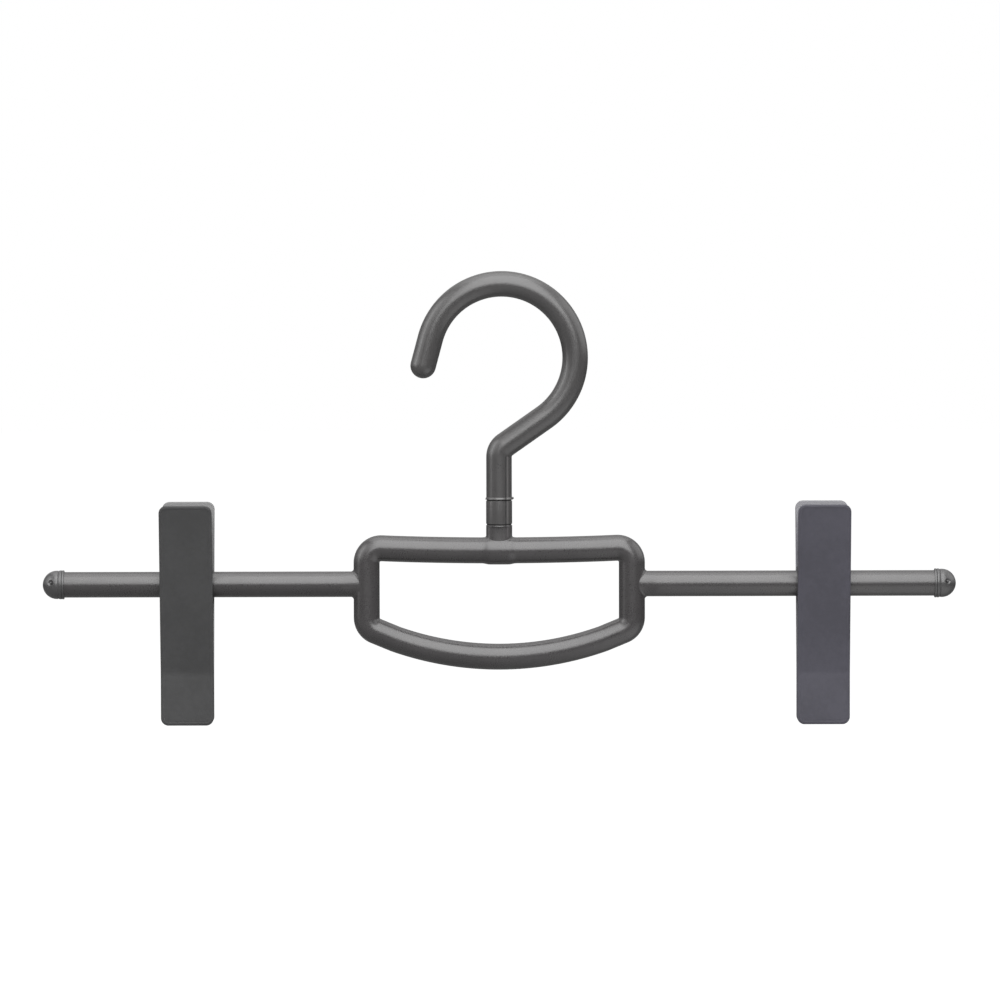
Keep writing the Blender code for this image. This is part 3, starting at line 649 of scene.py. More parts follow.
def crook_point(degrees):
    """The crook's centre plus its radius in that direction, measured from +x towards +z."""
    a = np.radians(degrees)
    return crook_centre + CROOK_R * np.stack([np.cos(a), 0 * a, np.sin(a)], axis=-1)


def crook_way(degrees):
    """The crook's direction at that point: (-sin a, 0, cos a)."""
    a = math.radians(degrees)
    return np.array([-math.sin(a), 0.0, math.cos(a)])


first, down = crook_point(CROOK_FROM), -crook_way(CROOK_FROM)
stem_corner = first + down * (first[0] / -down[0])
foot = np.array([0.0, 0.0, COLLAR_TOP_Z + 1.5 * MM])
stem_bend = corner_arc(foot, stem_corner, first, STEM_BEND_R, 16)
stem = foot + (stem_bend[0] - foot) * np.linspace(0, 1, 12)[:-1, None]
crook = crook_point(np.linspace(CROOK_FROM, CROOK_TO, 150))
tip_way = crook_way(CROOK_TO)
tip_run = crook[-1] + tip_way * np.linspace(0, TIP_RUN, 14)[1:, None]
round_end = np.linspace(0, np.pi / 2, 14)[1:, None]
tip_end = tip_run[-1] + tip_way * HOOK_R * np.sin(round_end)
upper_path = np.concatenate([stem, stem_bend, crook, tip_run, tip_end])
upper_radius = np.full(len(upper_path), HOOK_R)
upper_radius[-len(round_end) :] *= np.cos(round_end[:, 0])
hook_steps = np.linalg.norm(np.diff(upper_path, axis=0), axis=1)
print("hook line, mm:", round(float(hook_steps.sum() / MM), 1))

# %% [markdown]
# ### The shank, and the skin of the whole hook
# The shank's heights follow from the bore that holds it: its barb ends just above the bore's
# floor.

# %% Shank and skin
SHANK_R, FLANGE_R = 2.6 * MM, 6.0 * MM
bore_bottom = BAR_Z - 3.7 * MM
barb_bottom = bore_bottom + FIT
barb_top = barb_bottom + 2.8 * MM
flange_low, flange_high = COLLAR_TOP_Z + 0.45 * MM, COLLAR_TOP_Z + 1.5 * MM
shank_profile = eased(
    [(0, barb_bottom), (2.5 * MM, barb_bottom), (3.3 * MM, barb_top), (SHANK_R, barb_top)]
    + [(SHANK_R, flange_low), (FLANGE_R, flange_low), (FLANGE_R, flange_low + 0.35 * MM)]
    + [(HOOK_R + 0.12 * MM, flange_high - 0.12 * MM), (HOOK_R, flange_high)],
    0.10 * MM,
)
shank_path = shank_profile[:, 1:] * (0, 0, 1)
hook_path = np.concatenate([shank_path, upper_path])
hook_radius = np.concatenate([shank_profile[:, 0], upper_radius])
hook_way = unit(np.gradient(upper_path, axis=0))
hook_way = np.concatenate([np.tile([0.0, 0.0, 1.0], (len(shank_path), 1)), hook_way])
hook_skin = skin("hook skin", sweep(hook_path, hook_radius, 72, (0, 1, 0), hook_way))
print("shank from z, mm:", round(barb_bottom / MM, 1), "to", round(flange_high / MM, 1))


# %% [markdown]
# ### The barb's slot and the flange's gate mark
# The shank's end is split so that it can spring through the neck, and the flange keeps a small
# nub on its right where the plastic entered the mould.


# %% Slot and nub
def slab(name, low, high):
    """A closed box between two corners, as a grid of two rings and two poles."""
    (x0, y0, z0), (x1, y1, z1) = low, high
    ring = np.array([(x0, y0), (x1, y0), (x1, y1), (x0, y1)])
    middle = np.tile([(x0 + x1) / 2, (y0 + y1) / 2], (4, 1))
    levels = ((middle, z0), (ring, z0), (ring, z1), (middle, z1))
    return skin(name, np.array([np.column_stack([flat, np.full(4, z)]) for flat, z in levels]))


def bead(name, centre, radii, rows=14, columns=24):
    """A ball or ellipsoid: each point is centre + radii * (sin(v) cos(u), sin(v) sin(u),
    cos(v))."""
    v = np.linspace(0, np.pi, rows)[:, None]
    u = round_angles(columns)[None, :]
    ball = np.stack([np.sin(v) * np.cos(u), np.sin(v) * np.sin(u), np.cos(v) + 0 * u], axis=-1)
    return skin(name, np.asarray(centre) + np.asarray(radii) * ball)


barb_slot = slab(
    "barb slot",
    (-0.45 * MM, -6.0 * MM, barb_bottom - 1.0 * MM),
    (0.45 * MM, 6.0 * MM, barb_bottom + 9.0 * MM),
)
nub_place = (5.8 * MM, -0.3 * MM, flange_low + 0.6 * MM)
gate_nub = bead("gate nub", nub_place, (0.65 * MM, 0.6 * MM, 0.58 * MM))
hook_mesh = carved("hook", hook_skin, adds=[gate_nub], cuts=[barb_slot])
add_piece("hook", hook_mesh, "hook", hook_plastic)

# %% [markdown]
# ## The neck's collar
# Between the hook's flange and the frame's boss sits a plain collar. It is a profile spun round
# the swivel axis, with its edges broken just enough to catch the light, and a low lip at each end
# that closes the groove to its neighbour.

# %% Collar
collar_corners = [(2.9, 5.475), (2.9, 10.9), (5.4, 10.9), (5.4, 10.5), (5.7, 10.5)]
collar_corners += [(5.7, 0.45), (5.4, 0.45), (5.4, 0.1), (2.9, 0.1), (2.9, 5.475)]
collar_ring = eased(corners_mm(collar_corners, BOSS_TOP_Z), 0.12 * MM)[:-1]
collar_mesh = skin("collar", turned(collar_ring, 72), ring=True)
add_piece("neck_collar", collar_mesh, "frame", hook_plastic)

# %% [markdown]
# ## The frame's loop
# The loop is one closed line: a top that sags 1.3 mm, upright sides and a bottom bowed to a
# radius of 136 mm, with round corners between them. Its tube swells a little under the neck.

# %% The loop's line and skin
LOOP_R, CORNER_R, SIDE_X = 5.7 * MM, 6.3 * MM, 58.1 * MM
TOP_Z, TOP_SAG = ARM_Z + 16.0 * MM, 1.3 * MM
BOW_R = 136.0 * MM
BOW_CENTRE_Z = ARM_Z - 32.0 * MM + BOW_R


def loop_top(share):
    """The top's centreline, where share runs from -1 to 1: z = top - sag * (1 - share^2)."""
    return np.stack([share * SIDE_X, 0 * share, TOP_Z - TOP_SAG * (1 - share**2)], axis=-1)


def loop_bottom(share):
    """The bottom's centreline, part of a circle: z = centre - sqrt(bow^2 - x^2)."""
    x = share * SIDE_X
    return np.stack([x, 0 * x, BOW_CENTRE_Z - np.sqrt(BOW_R**2 - x**2)], axis=-1)


one, near = np.array(1.0), np.array(1 - 2 * CORNER_R / SIDE_X)
top_line, bottom_line = (line(np.linspace(-near, near, 90)) for line in (loop_top, loop_bottom))
right_line = np.concatenate(
    [
        corner_arc(loop_top(near), loop_top(one), loop_bottom(one), CORNER_R, 20),
        np.linspace([SIDE_X, 0, ARM_Z + 7 * MM], [SIDE_X, 0, ARM_Z - 6 * MM], 10),
        corner_arc(loop_top(one), loop_bottom(one), loop_bottom(near), CORNER_R, 20),
    ]
)
left_line = right_line * (-1, 1, 1)
loop_line = np.concatenate([top_line, right_line, bottom_line[::-1], left_line[::-1]])
ahead = unit(np.roll(loop_line, -1, axis=0) - np.roll(loop_line, 1, axis=0))
on_top = loop_line[:, 2] > ARM_Z + 10 * MM
swell = on_top * smooth(7.4 * MM - np.abs(loop_line[:, 0]), 0, 3.2 * MM)
loop_rows = sweep(loop_line, LOOP_R + 0.5 * MM * swell, 64, (0, 1, 0), ahead)
loop_skin = skin("loop", loop_rows, ring=True)
print("loop line has", len(loop_line), "points")


# %% [markdown]
# ## The arms
# Each arm runs straight out of the loop's side and ends in a spigot that the cap snaps on. It is
# round, and only next to the loop it is a little less deep from front to back.


# %% Arms
ARM_R, ARM_FOOT_DEPTH = 5.6 * MM, 4.9 * MM
ROUND_FROM, FOOT_TO = 70.5 * MM, 63.5 * MM
SPIGOT_R, GROOVE_R = 4.3 * MM, 3.9 * MM
SPIGOT_FROM, GROOVE_FROM, GROOVE_TO = 190.58 * MM, 192.7 * MM, 194.1 * MM
arm_corners = [(0, SIDE_X - 2.0 * MM), (ARM_R, SIDE_X), (ARM_R, SPIGOT_FROM)]
arm_corners += [(SPIGOT_R, SPIGOT_FROM), (SPIGOT_R, GROOVE_FROM), (GROOVE_R, GROOVE_FROM)]
arm_corners += [(GROOVE_R, GROOVE_TO), (SPIGOT_R, GROOVE_TO)]
arm_corners += [(SPIGOT_R, 195.6 * MM), (0, 196.0 * MM)]
arm_profile = eased(arm_corners, [0.15 * MM, 0.15 * MM, 0.02 * MM] + [0.15 * MM] * 7)
foot_x = np.linspace(FOOT_TO - 0.5 * MM, ROUND_FROM + 0.5 * MM, 24)
after_first_corner = np.searchsorted(arm_profile[:, 1], foot_x[0])
foot_spots = np.stack([0 * foot_x + ARM_R, foot_x], axis=-1)
arm_profile = np.insert(arm_profile, after_first_corner, foot_spots, axis=0)


def arm_skin(name, sign):
    """The turned arm with y times 1 - (1 - depth / arm) s, where s eases from 0 to 1 on the way
    in from ROUND_FROM to FOOT_TO."""
    grid = on_arm(arm_profile, 64, sign=sign)
    s = smooth(ROUND_FROM - np.abs(grid[..., 0]), 0, ROUND_FROM - FOOT_TO)
    grid[..., 1] *= 1 - (1 - ARM_FOOT_DEPTH / ARM_R) * s
    return skin(name, grid)


arm_skins = [arm_skin(f"{side} arm", sign) for side, sign in SIDES.items()]
print("arms:", [mesh.name for mesh in arm_skins])

# %% [markdown]
# ### The fillets
# Where two bars meet, a mould maker leaves a small fillet. A ball rolled round the joint touches
# both bars, and the fillet is the part of its surface between the two touching points.


# %% Rolling-ball fillets
def ball_fillet(name, sign, ball=1.3 * MM, sink=0.02 * MM):
    """The arm's section is the ellipse y, z = (depth sin a, arm cos a). The ball's centre lies
    ball away from it, at x where (x - side)^2 + y^2 = (loop + ball)^2. The section is the arc
    between its two touching points, closed by a point inside both bars."""
    a = round_angles(120)
    outward = unit(np.stack([0 * a, np.sin(a) / ARM_FOOT_DEPTH, np.cos(a) / ARM_R], axis=-1))
    y = ARM_FOOT_DEPTH * np.sin(a) + ball * outward[:, 1]
    z = ARM_R * np.cos(a) + ball * outward[:, 2]
    x = np.sqrt((LOOP_R + ball) ** 2 - y**2)
    centre = np.stack([x, y, z], axis=-1)
    to_arm = -outward
    to_loop = unit(np.stack([-x, -y, 0 * a], axis=-1))
    turn = np.arccos(np.clip((to_arm * to_loop).sum(-1), -1, 1))[:, None, None]
    t = np.linspace(0, 1, 9)[None, :, None]
    spoke = arc_between(to_arm[:, None], to_loop[:, None], turn, t)
    arc = centre[:, None] + (ball + sink) * spoke
    inner = centre[:, None] + (ball + 1.2 * MM) * unit((to_arm + to_loop)[:, None])
    section = np.concatenate([arc, inner], axis=1)
    section[..., 0] = sign * (section[..., 0] + SIDE_X)
    section[..., 2] += ARM_Z
    return skin(name, section, ring=True)


arm_fillets = [ball_fillet(f"{side} arm fillet", sign) for side, sign in SIDES.items()]
print("fillets:", [mesh.name for mesh in arm_fillets])

# %% [markdown]
# ## The boss
# Under the collar the frame rises to meet the hook in a boss with a rounded oblong section. Its
# wall flares out in a small curve where it lands on the bar. The height of each wall point is
# measured from the bar's surface below it, so the flare follows the bar's round back.


# %% Boss, rim and bore
def outward_of(outline):
    """For a closed outline that runs anticlockwise, the direction square to it at each point."""
    way = unit(np.roll(outline, -1, axis=0) - np.roll(outline, 1, axis=0))
    return np.stack([way[:, 1], -way[:, 0]], axis=-1)


WALL_SIDES, WALL_SQUARENESS, FLARE, BAR_R = 96, 2.7, 0.25 * MM, 6.2 * MM
wall = squarish(WALL_SIDES, 5.7 * MM, 4.6 * MM, WALL_SQUARENESS)
rise = np.concatenate([[-2.5 * MM, -0.3 * MM], FLARE * (1 - np.cos(np.linspace(0, np.pi / 2, 9)))])
spread = FLARE - quarter(rise, FLARE)
foot_xy = wall[None] + spread[:, None, None] * outward_of(wall)[None]
bar_top = BAR_Z + np.sqrt(np.maximum(BAR_R**2 - foot_xy[..., 1] ** 2, 0))
foot_rows = np.concatenate([foot_xy, (bar_top + rise[:, None])[..., None]], axis=-1)
top_z = BOSS_TOP_Z - 0.25 * MM
top_row = np.concatenate([wall, np.full((WALL_SIDES, 1), top_z)], axis=1)[None]
pole = np.zeros((1, WALL_SIDES, 3))
boss_rows = [pole + [0, 0, BAR_Z], foot_rows, top_row, pole + [0, 0, top_z]]
boss_skin = skin("boss", np.concatenate(boss_rows))
rim_corners = corners_mm([(0, 0), (5.35, 0), (5.8, -0.55), (0, -0.75)], BOSS_TOP_Z)
rim_skin = skin("boss rim", turned(eased(rim_corners, 0.12 * MM), 96))
BORE_R, SHOULDER_R = 2.9 * MM, 3.6 * MM
bore_top, shoulder_z = BOSS_TOP_Z + 1 * MM, barb_top + FIT
bore_profile = [(0, bore_top), (BORE_R, bore_top), (BORE_R, shoulder_z), (SHOULDER_R, shoulder_z)]
bore_profile += [(SHOULDER_R, bore_bottom), (0, bore_bottom)]
bore = skin("bore", turned(bore_profile, 48))
frame_adds = [*arm_skins, *arm_fillets, boss_skin, rim_skin]
frame_mesh = carved("frame", loop_skin, adds=frame_adds, cuts=[bore])
add_piece("frame", frame_mesh, "frame", frame_plastic)

# %% [markdown]
# ## The end caps
# A cap is a small cup with a domed end. A bead and a fine groove run round its mouth, and a ring
# inside it snaps into the spigot. It is one closed profile spun round the arm, with the mark of
# the moulding gate on its dome.


# %% Caps
CAP_R, CAP_MOUTH = 6.2 * MM, 190.6 * MM
DOME_X, CUP_END = CAP_MOUTH + 3.2 * MM, CAP_MOUTH + 5.8 * MM


def cap_profile():
    """Bead, groove and side, then the dome, DOME_X + CAP_R cos(a) far out at radius CAP_R sin(a),
    then back inside to the mouth."""
    bead_mm = [(4.6, 0), (6.28, 0), (6.35, 0.2), (6.35, 0.75), (6.12, 0.95), (6.35, 1.15)]
    groove_mm = [(6.32, 1.9), (6.03, 2.45), (6.2, 2.7), (6.2, 3.2)]
    outside = eased(corners_mm(bead_mm + groove_mm, CAP_MOUTH), 0.10 * MM, 4)
    a = np.linspace(0, np.pi / 2, 20)[::-1]
    dome = np.stack([CAP_R * np.sin(a), DOME_X + CAP_R * np.cos(a)], axis=-1)
    inside = corners_mm([(4.6, 5.8), (4.6, 3.2), (4.2, 3.0), (4.2, 2.6), (4.6, 2.4)], CAP_MOUTH)
    return np.concatenate([outside[:-1], dome, [(0, CUP_END)], inside])


def make_cap(side, sign):
    """The cap, with a gate mark low on the front of its dome: a shallow dish with a nub in it."""
    body = skin(f"{side} cap", on_arm(cap_profile(), 72, sign=sign), ring=True)
    spot = np.array([sign * DOME_X, 0, ARM_Z])
    way = unit(np.array([sign * 0.40, -0.89, 0.20]))
    dish = bead(f"{side} dish", spot + way * 7.3 * MM, 1.85 * MM)
    nub = bead(f"{side} nub", spot + way * 5.75 * MM, 0.55 * MM)
    mesh = carved(f"{side}_end_cap", carved("dished cap", body, cuts=[dish]), adds=[nub])
    add_piece(f"{side}_end_cap", mesh, "frame", cap_plastic)


for side, sign in SIDES.items():
    make_cap(side, sign)

# %% [markdown]
# ## The clips: sleeve
# A clip turns on a thin sleeve that slides along the arm, with a small flange at each end. Half of
# its profile is written down, and the other half is its mirror image.

# %% Sleeves
CLIP_W = 23.1 * MM
SLEEVE_IN, SLEEVE_R, SLEEVE_FLANGE_R = 5.9 * MM, 6.7 * MM, 7.6 * MM
sleeve_end = CLIP_W / 2 - 0.15 * MM
flange_in = sleeve_end - 0.5 * MM
half_ring = [(SLEEVE_IN, 0), (SLEEVE_IN, sleeve_end), (SLEEVE_FLANGE_R, sleeve_end)]
half_ring += [(SLEEVE_FLANGE_R, flange_in), (SLEEVE_R, flange_in)]
sleeve_ring = eased(half_ring + [(r, -x) for r, x in reversed(half_ring)], 0.12 * MM, 3)[:-1]
for side, x in clip_x.items():
    mesh = skin(f"{side} sleeve", on_arm(sleeve_ring, 64, x), ring=True)
    add_piece(f"{side}_pivot_sleeve", mesh, f"{side}_sleeve", sleeve_plastic)

# %% [markdown]
# ## The clips: jaw plates
# A plate is 23.1 mm wide and 97.1 mm high, upright at the jaw and leaning outwards above the
# bend. Both of its faces are heights over one grid, which narrows where the outline's corners are
# round. Near the outline the heights follow a quarter circle, so the edges are rounded without a
# bevel. How far the handles lean follows from the coil that has to fit behind them. In the solid
# the coil is laid in about 9.9 straight steps a turn, and their middles clear the sleeve.

# %% The plate's two faces
RISE, DROP, BEND = 35.4 * MM, 61.7 * MM, 38.9 * MM
THICK, CORNER = 2.4 * MM, 3.3 * MM
OUTER_EDGE, INNER_EDGE = 0.5 * MM, 0.25 * MM
JAW_OUTER_Y = 4.2 * MM
WIRE_R, LEG_LENGTH, COIL_STEPS, WALL_OVER_SPRING = 0.6 * MM, 20.0 * MM, 9.9, 1.4 * MM
COIL_R = (SLEEVE_R + FIT + WIRE_R) / math.cos(math.pi / COIL_STEPS)
RELIEF_R = COIL_R + WIRE_R + FIT
TILT = math.asin((RELIEF_R + WALL_OVER_SPRING) / math.hypot(BEND, JAW_OUTER_Y))
TILT -= math.atan2(JAW_OUTER_Y, BEND)


def plate_levels():
    """Heights of the grid's rows: close together at both ends and at the bend."""
    end = np.concatenate([CORNER * (1 - np.cos(np.linspace(0, np.pi / 2, 18))), [4 * MM]])
    middle = np.arange(-DROP + 5 * MM, RISE - 4.5 * MM, 1.0 * MM)
    bend = np.arange(-BEND - 4 * MM, -BEND + 3 * MM, 0.3 * MM)
    return np.unique(np.round(np.concatenate([-DROP + end, RISE - end, middle, bend]), 6))


def half_thickness(d, edge):
    """T/2 - e + sqrt(e^2 - (e - d)^2) at a distance d under e from the outline, T/2 further
    in."""
    return THICK / 2 - edge + quarter(d, edge)


def plate_mesh(name, face, x0, outboard):
    """d is a point's distance from the round-cornered outline. On the outer face a low step marks
    the jaw, with dips over the ears, a gate mark and a faint ridge along the outline. The inner
    face, at the mould's parting, has crisper edges. lean shifts each row outwards above the
    bend."""
    z = plate_levels()[:, None]
    xi = np.sin(np.pi / 2 * np.linspace(-1, 1, 65))[None, :]
    from_end = np.minimum(z + DROP, RISE - z)
    x = (CLIP_W / 2 - CORNER + quarter(from_end, CORNER)) * xi
    qx = np.abs(x) - (CLIP_W / 2 - CORNER)
    qz = CORNER - from_end + 0 * x
    outside = np.hypot(np.maximum(qx, 0), np.maximum(qz, 0)) + np.minimum(np.maximum(qx, qz), 0)
    d = np.clip(CORNER - outside, 0, None)
    well_in = smooth(d, 0.3 * MM, 2.2 * MM)
    step = 0.10 * MM * smooth(-z, 38.0 * MM, 42.0 * MM) * well_in
    dips = -0.05 * MM * hump(np.abs(x) - 8.0 * MM, 1.6 * MM) * hump(z, 8 * MM)
    gate = 0.10 * MM * hump(np.hypot(x - outboard * 7.6 * MM, z - 7.6 * MM), 1.1 * MM)
    above = z + BEND
    lean = math.tan(TILT) * (above + np.sqrt(above**2 + (1.8 * MM) ** 2)) / 2
    middle_y = JAW_OUTER_Y - THICK / 2 + lean
    rim = 0.12 * MM * hump(d - 1.05 * MM, 0.25 * MM)
    outer = middle_y + half_thickness(d, OUTER_EDGE) + (step + dips + gate) * well_in + rim
    inner = middle_y - half_thickness(d, INNER_EDGE)
    front = np.stack([x0 + x, face * outer, ARM_Z + z + 0 * x], axis=-1)
    back = np.stack([x0 + x, face * inner, ARM_Z + z + 0 * x], axis=-1)
    return two_faced(name, front, back, capped=True)


print("the handles lean out by", round(math.degrees(TILT), 2), "degrees")

# %% [markdown]
# ## The clips: ears
# Each plate holds the sleeve with two C-shaped ears. The rear jaw's ears stand inside the front
# jaw's, as a hinge's knuckles do. An ear is an oblong section carried round an arc of 220
# degrees.

# %% Ears, and the room cut for the spring
WHOLE_TURNS, COIL_PITCH = 4, 1.7 * MM
COIL_WRAP = 2 * math.pi * WHOLE_TURNS + math.pi - 2 * TILT
LEG_X = COIL_PITCH * COIL_WRAP / (2 * math.pi) / 2
RELIEF_HALF = LEG_X + WIRE_R + FIT
EAR_W = (flange_in - RELIEF_HALF - 3 * FIT) / 2
REAR_EAR_X = RELIEF_HALF + FIT + EAR_W / 2
EAR_X = {"rear": REAR_EAR_X, "front": REAR_EAR_X + EAR_W + FIT}
EAR_IN, EAR_WALL = SLEEVE_R + FIT, 2.1 * MM
EAR_REACH, EAR_STEPS, EAR_SQUARENESS = math.radians(110.0), 60, 7.0


def ear_mesh(name, x0, face):
    """Angle a runs EAR_REACH each way from the plate's side. The section's corners are eased, and
    both ends are closed by a row drawn in to its middle."""
    radial, across = (squarish(28, 1.0, 1.0, EAR_SQUARENESS) * (EAR_WALL / 2, EAR_W / 2)).T
    a = np.linspace(-EAR_REACH, EAR_REACH, EAR_STEPS)
    a = np.concatenate([[-EAR_REACH] * 2, a, [EAR_REACH] * 2])
    keep = np.concatenate([[0.0, 0.9], np.ones(EAR_STEPS), [0.9, 0.0]])
    r = EAR_IN + EAR_WALL / 2 + keep[:, None] * radial[None]
    x = x0 + keep[:, None] * across[None]
    points = np.stack([x, face * r * np.cos(a)[:, None], ARM_Z + r * np.sin(a)[:, None]], axis=-1)
    return skin(name, points)


def coil_room(name, x0):
    """A plain cylinder along the arm, a little larger than the coil."""
    ends = [(0, -RELIEF_HALF), (RELIEF_R, -RELIEF_HALF), (RELIEF_R, RELIEF_HALF), (0, RELIEF_HALF)]
    return skin(name, on_arm(ends, 96, x0))


def leg_groove(name, face, leg_x):
    """A box round the spring's leg, leaning with the plate: a slab turned by the tilt about x."""
    half_w, depth, height = WIRE_R + FIT, THICK + 1.0 * MM, LEG_LENGTH + WIRE_R
    mesh = slab(name, (leg_x - half_w, RELIEF_R - depth, 0.0), (leg_x + half_w, RELIEF_R, height))
    points = np.zeros(len(mesh.vertices) * 3)
    mesh.vertices.foreach_get("co", points)
    x, y, z = points.reshape(-1, 3).T
    c, s = math.cos(TILT), math.sin(TILT)
    turned_points = np.stack([x, face * (y * c + z * s), ARM_Z + z * c - y * s], axis=-1)
    mesh.vertices.foreach_set("co", turned_points.ravel())
    return closed(mesh)


# %% [markdown]
# ### The jaws put together
# The two halves of a clip are the same shape, one at the back and one at the front, apart from
# where their ears and their spring leg are. The right clip's plastic is a little bluer, and it is
# lighter too: that lighter tone is painted light, for the stronger light on the right. The edges
# of both clips are painted much paler, as painted highlight.


# %% Jaws
def make_jaw(side, name, face, material):
    """The plate with its two ears, less the room for the coil and the groove for one spring
    leg."""
    x0 = clip_x[side]
    plate = plate_mesh(f"{side} {name} plate", face, x0, SIDES[side])
    ears = [ear_mesh(f"{side} {name} ear {s:+d}", x0 + s * EAR_X[name], face) for s in (-1, 1)]
    leg_x = x0 + (LEG_X if name == "front" else -LEG_X)
    groove = leg_groove(f"{side} {name} groove", face, leg_x)
    room = coil_room(f"{side} {name} room", x0)
    mesh = carved(f"{side}_{name}_jaw", plate, adds=ears, cuts=[room, groove])
    add_piece(f"{side}_{name}_jaw", mesh, f"{side}_{name}_half", material)


smooth_inside = (JAW_OUTER_Y - THICK / 2, math.tan(TILT), ARM_Z - BEND)
# The right clip's colour is bluer, and lighter as painted light.
jaw_colours_right_painted_lighter = {"left": (0.048, 0.048, 0.049), "right": (0.063, 0.061, 0.078)}
for side, colour in jaw_colours_right_painted_lighter.items():
    # The strong edge settings paint the plates' edges pale: painted highlight, with some rubbing.
    finish_with_edge_highlight = dict(edge_amount=0.9, edge_paleness=4.0, inside=smooth_inside)
    material = plastic(f"{side} clip plastic", colour, 0.52, 3200.0, 0.035 * MM, **finish_with_edge_highlight)
    for name, face in HALVES.items():
        make_jaw(side, name, face, material)

# %% [markdown]
# ## The clips: grip pads
# Each jaw grips with a soft pad that has eight ribs across it. The pad's face is a height over a
# grid: a rounded wave for the ribs, brought down to nothing at the pad's edges.


# %% Pads
def pad_mesh(name, face, x0):
    """Height over the jaw = root + rib * wave, where the wave is cos^2 sharpened to a flat-topped
    rib, and everything falls to the jaw along a quarter circle within 0.4 mm of the outline."""
    margin, edge, ribs, root, rib = 1.75 * MM, 0.4 * MM, 8, 0.85 * MM, 0.5 * MM
    half_w, half_h = CLIP_W / 2 - margin, (DROP - BEND) / 2 - margin
    edge_z = edge * (1 - np.cos(np.linspace(0, np.pi / 2, 7)))
    between = np.linspace(-half_h + 0.5 * MM, half_h - 0.5 * MM, 150)
    z = np.concatenate([-half_h + edge_z, between, half_h - edge_z[::-1]])[:, None]
    x = half_w * np.sin(np.pi / 2 * np.linspace(-1, 1, 33))[None, :]
    d = np.minimum(half_w - np.abs(x), half_h - np.abs(z))
    pitch = 2 * half_h / ribs
    wave = smooth(0.5 + 0.5 * np.cos(2 * np.pi * (z + half_h - pitch / 2) / pitch), 0.15, 0.85)
    height = root + rib * wave * smooth(d, 0.1 * MM, 0.6 * MM)
    height = height * quarter(d / edge, 1.0)
    back_y = 1.5 * MM
    grid_x, grid_z = x0 + x + 0 * z, ARM_Z - (DROP + BEND) / 2 + z + 0 * x
    front = np.stack([grid_x, face * (back_y - height), grid_z], axis=-1)
    back = np.stack([grid_x, face * back_y + 0 * height, grid_z], axis=-1)
    return two_faced(name, front, back)


for side, x0 in clip_x.items():
    for name, face in HALVES.items():
        mesh = pad_mesh(f"{side} {name} pad", face, x0)
        body = f"{side}_{name}_half"
        add_piece(f"{side}_{name}_pad", mesh, body, pad_rubber, 60.0)

# %% [markdown]
# ## The clips: torsion springs
# The spring presses the jaws together. Its wire comes down the front handle, winds a little over
# four turns round the sleeve and goes up the rear handle. When the clip opens, one leg turns with
# each half. Here the spring is one skin, set where it lies and tied to neither half.


# %% Springs
def spring_points(x0):
    """Legs: straight lines that leave the coil along its tangent. Coil: radius * (cos a, sin a)
    while x falls evenly by COIL_PITCH a turn."""
    share = np.linspace(0, 1, 230)
    a = math.pi + TILT + COIL_WRAP * share
    x = x0 + LEG_X - 2 * LEG_X * share
    coil = np.stack([x, COIL_R * np.cos(a), ARM_Z + COIL_R * np.sin(a)], axis=-1)
    up = np.array([[0, -math.sin(TILT), math.cos(TILT)], [0, math.sin(TILT), math.cos(TILT)]])
    far = np.linspace(LEG_LENGTH, 0.4 * MM, 14)[:, None]
    return np.concatenate([coil[0] + up[0] * far, coil, (coil[-1] + up[1] * far)[::-1]])


def spring_mesh(name, x0):
    """The wire's section is carried along with directions square to the line, taken from the
    arm's axis, and its ends are cut square with a broken edge."""
    line = spring_points(x0)
    way = unit(np.gradient(line, axis=0))
    ends = np.array([0.0, 0.8, 1.0])
    line = np.concatenate([line[[0, 0]], line, line[[-1, -1]]])
    line[2] += (line[3] - line[2]) * 0.05
    line[-3] += (line[-4] - line[-3]) * 0.05
    way = np.concatenate([way[[0, 0]], way, way[[-1, -1]]])
    radius = np.full(len(line), WIRE_R)
    radius[:3], radius[-3:] = WIRE_R * ends, WIRE_R * ends[::-1]
    return skin(name, sweep(line, radius, 14, (1, 0, 0), way), uv=(1.0, 60.0))


for side, x0 in clip_x.items():
    name = f"{side}_torsion_spring"
    mesh = spring_mesh(name, x0)
    mesh.materials.append(spring_steel)
    mesh.shade_smooth()
    spring = placed(f"{name}_skin", mesh)
    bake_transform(spring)
    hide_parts(name)
    print(name, "has", len(mesh.polygons), "faces")

# %% [markdown]
# ## Floor and background
# The hanger hangs in the air over a pale studio floor. The photograph's background is pure white,
# so the floor and the world are white to the camera, while the floor still takes the hanger's
# soft shadow. Reflected rays see the world at a quarter of that, and the floor only below the
# right arm: in the photograph the undersides of the tubes grow paler from the middle to the
# right.


# %% Floor and world
WHITE = (1.0, 1.0, 1.0, 1.0)


def white_to_camera(tree, plain, bright, glossy):
    """plain for the rays that light the object, bright for camera and transmission rays, and for
    the share glossy of the reflected rays."""
    path = tree.nodes.new("ShaderNodeLightPath")
    straight, through = path.outputs["Is Camera Ray"], path.outputs["Is Transmission Ray"]
    seen = math_node(tree, "MAXIMUM", straight, through)
    mirrored = math_node(tree, "MULTIPLY", path.outputs["Is Glossy Ray"], glossy)
    node = tree.nodes.new("ShaderNodeMix")
    factor = math_node(tree, "MAXIMUM", seen, mirrored)
    set_all(tree, node.inputs, {"Factor": factor, "A": plain, "B": bright})
    return node.outputs["Result"]


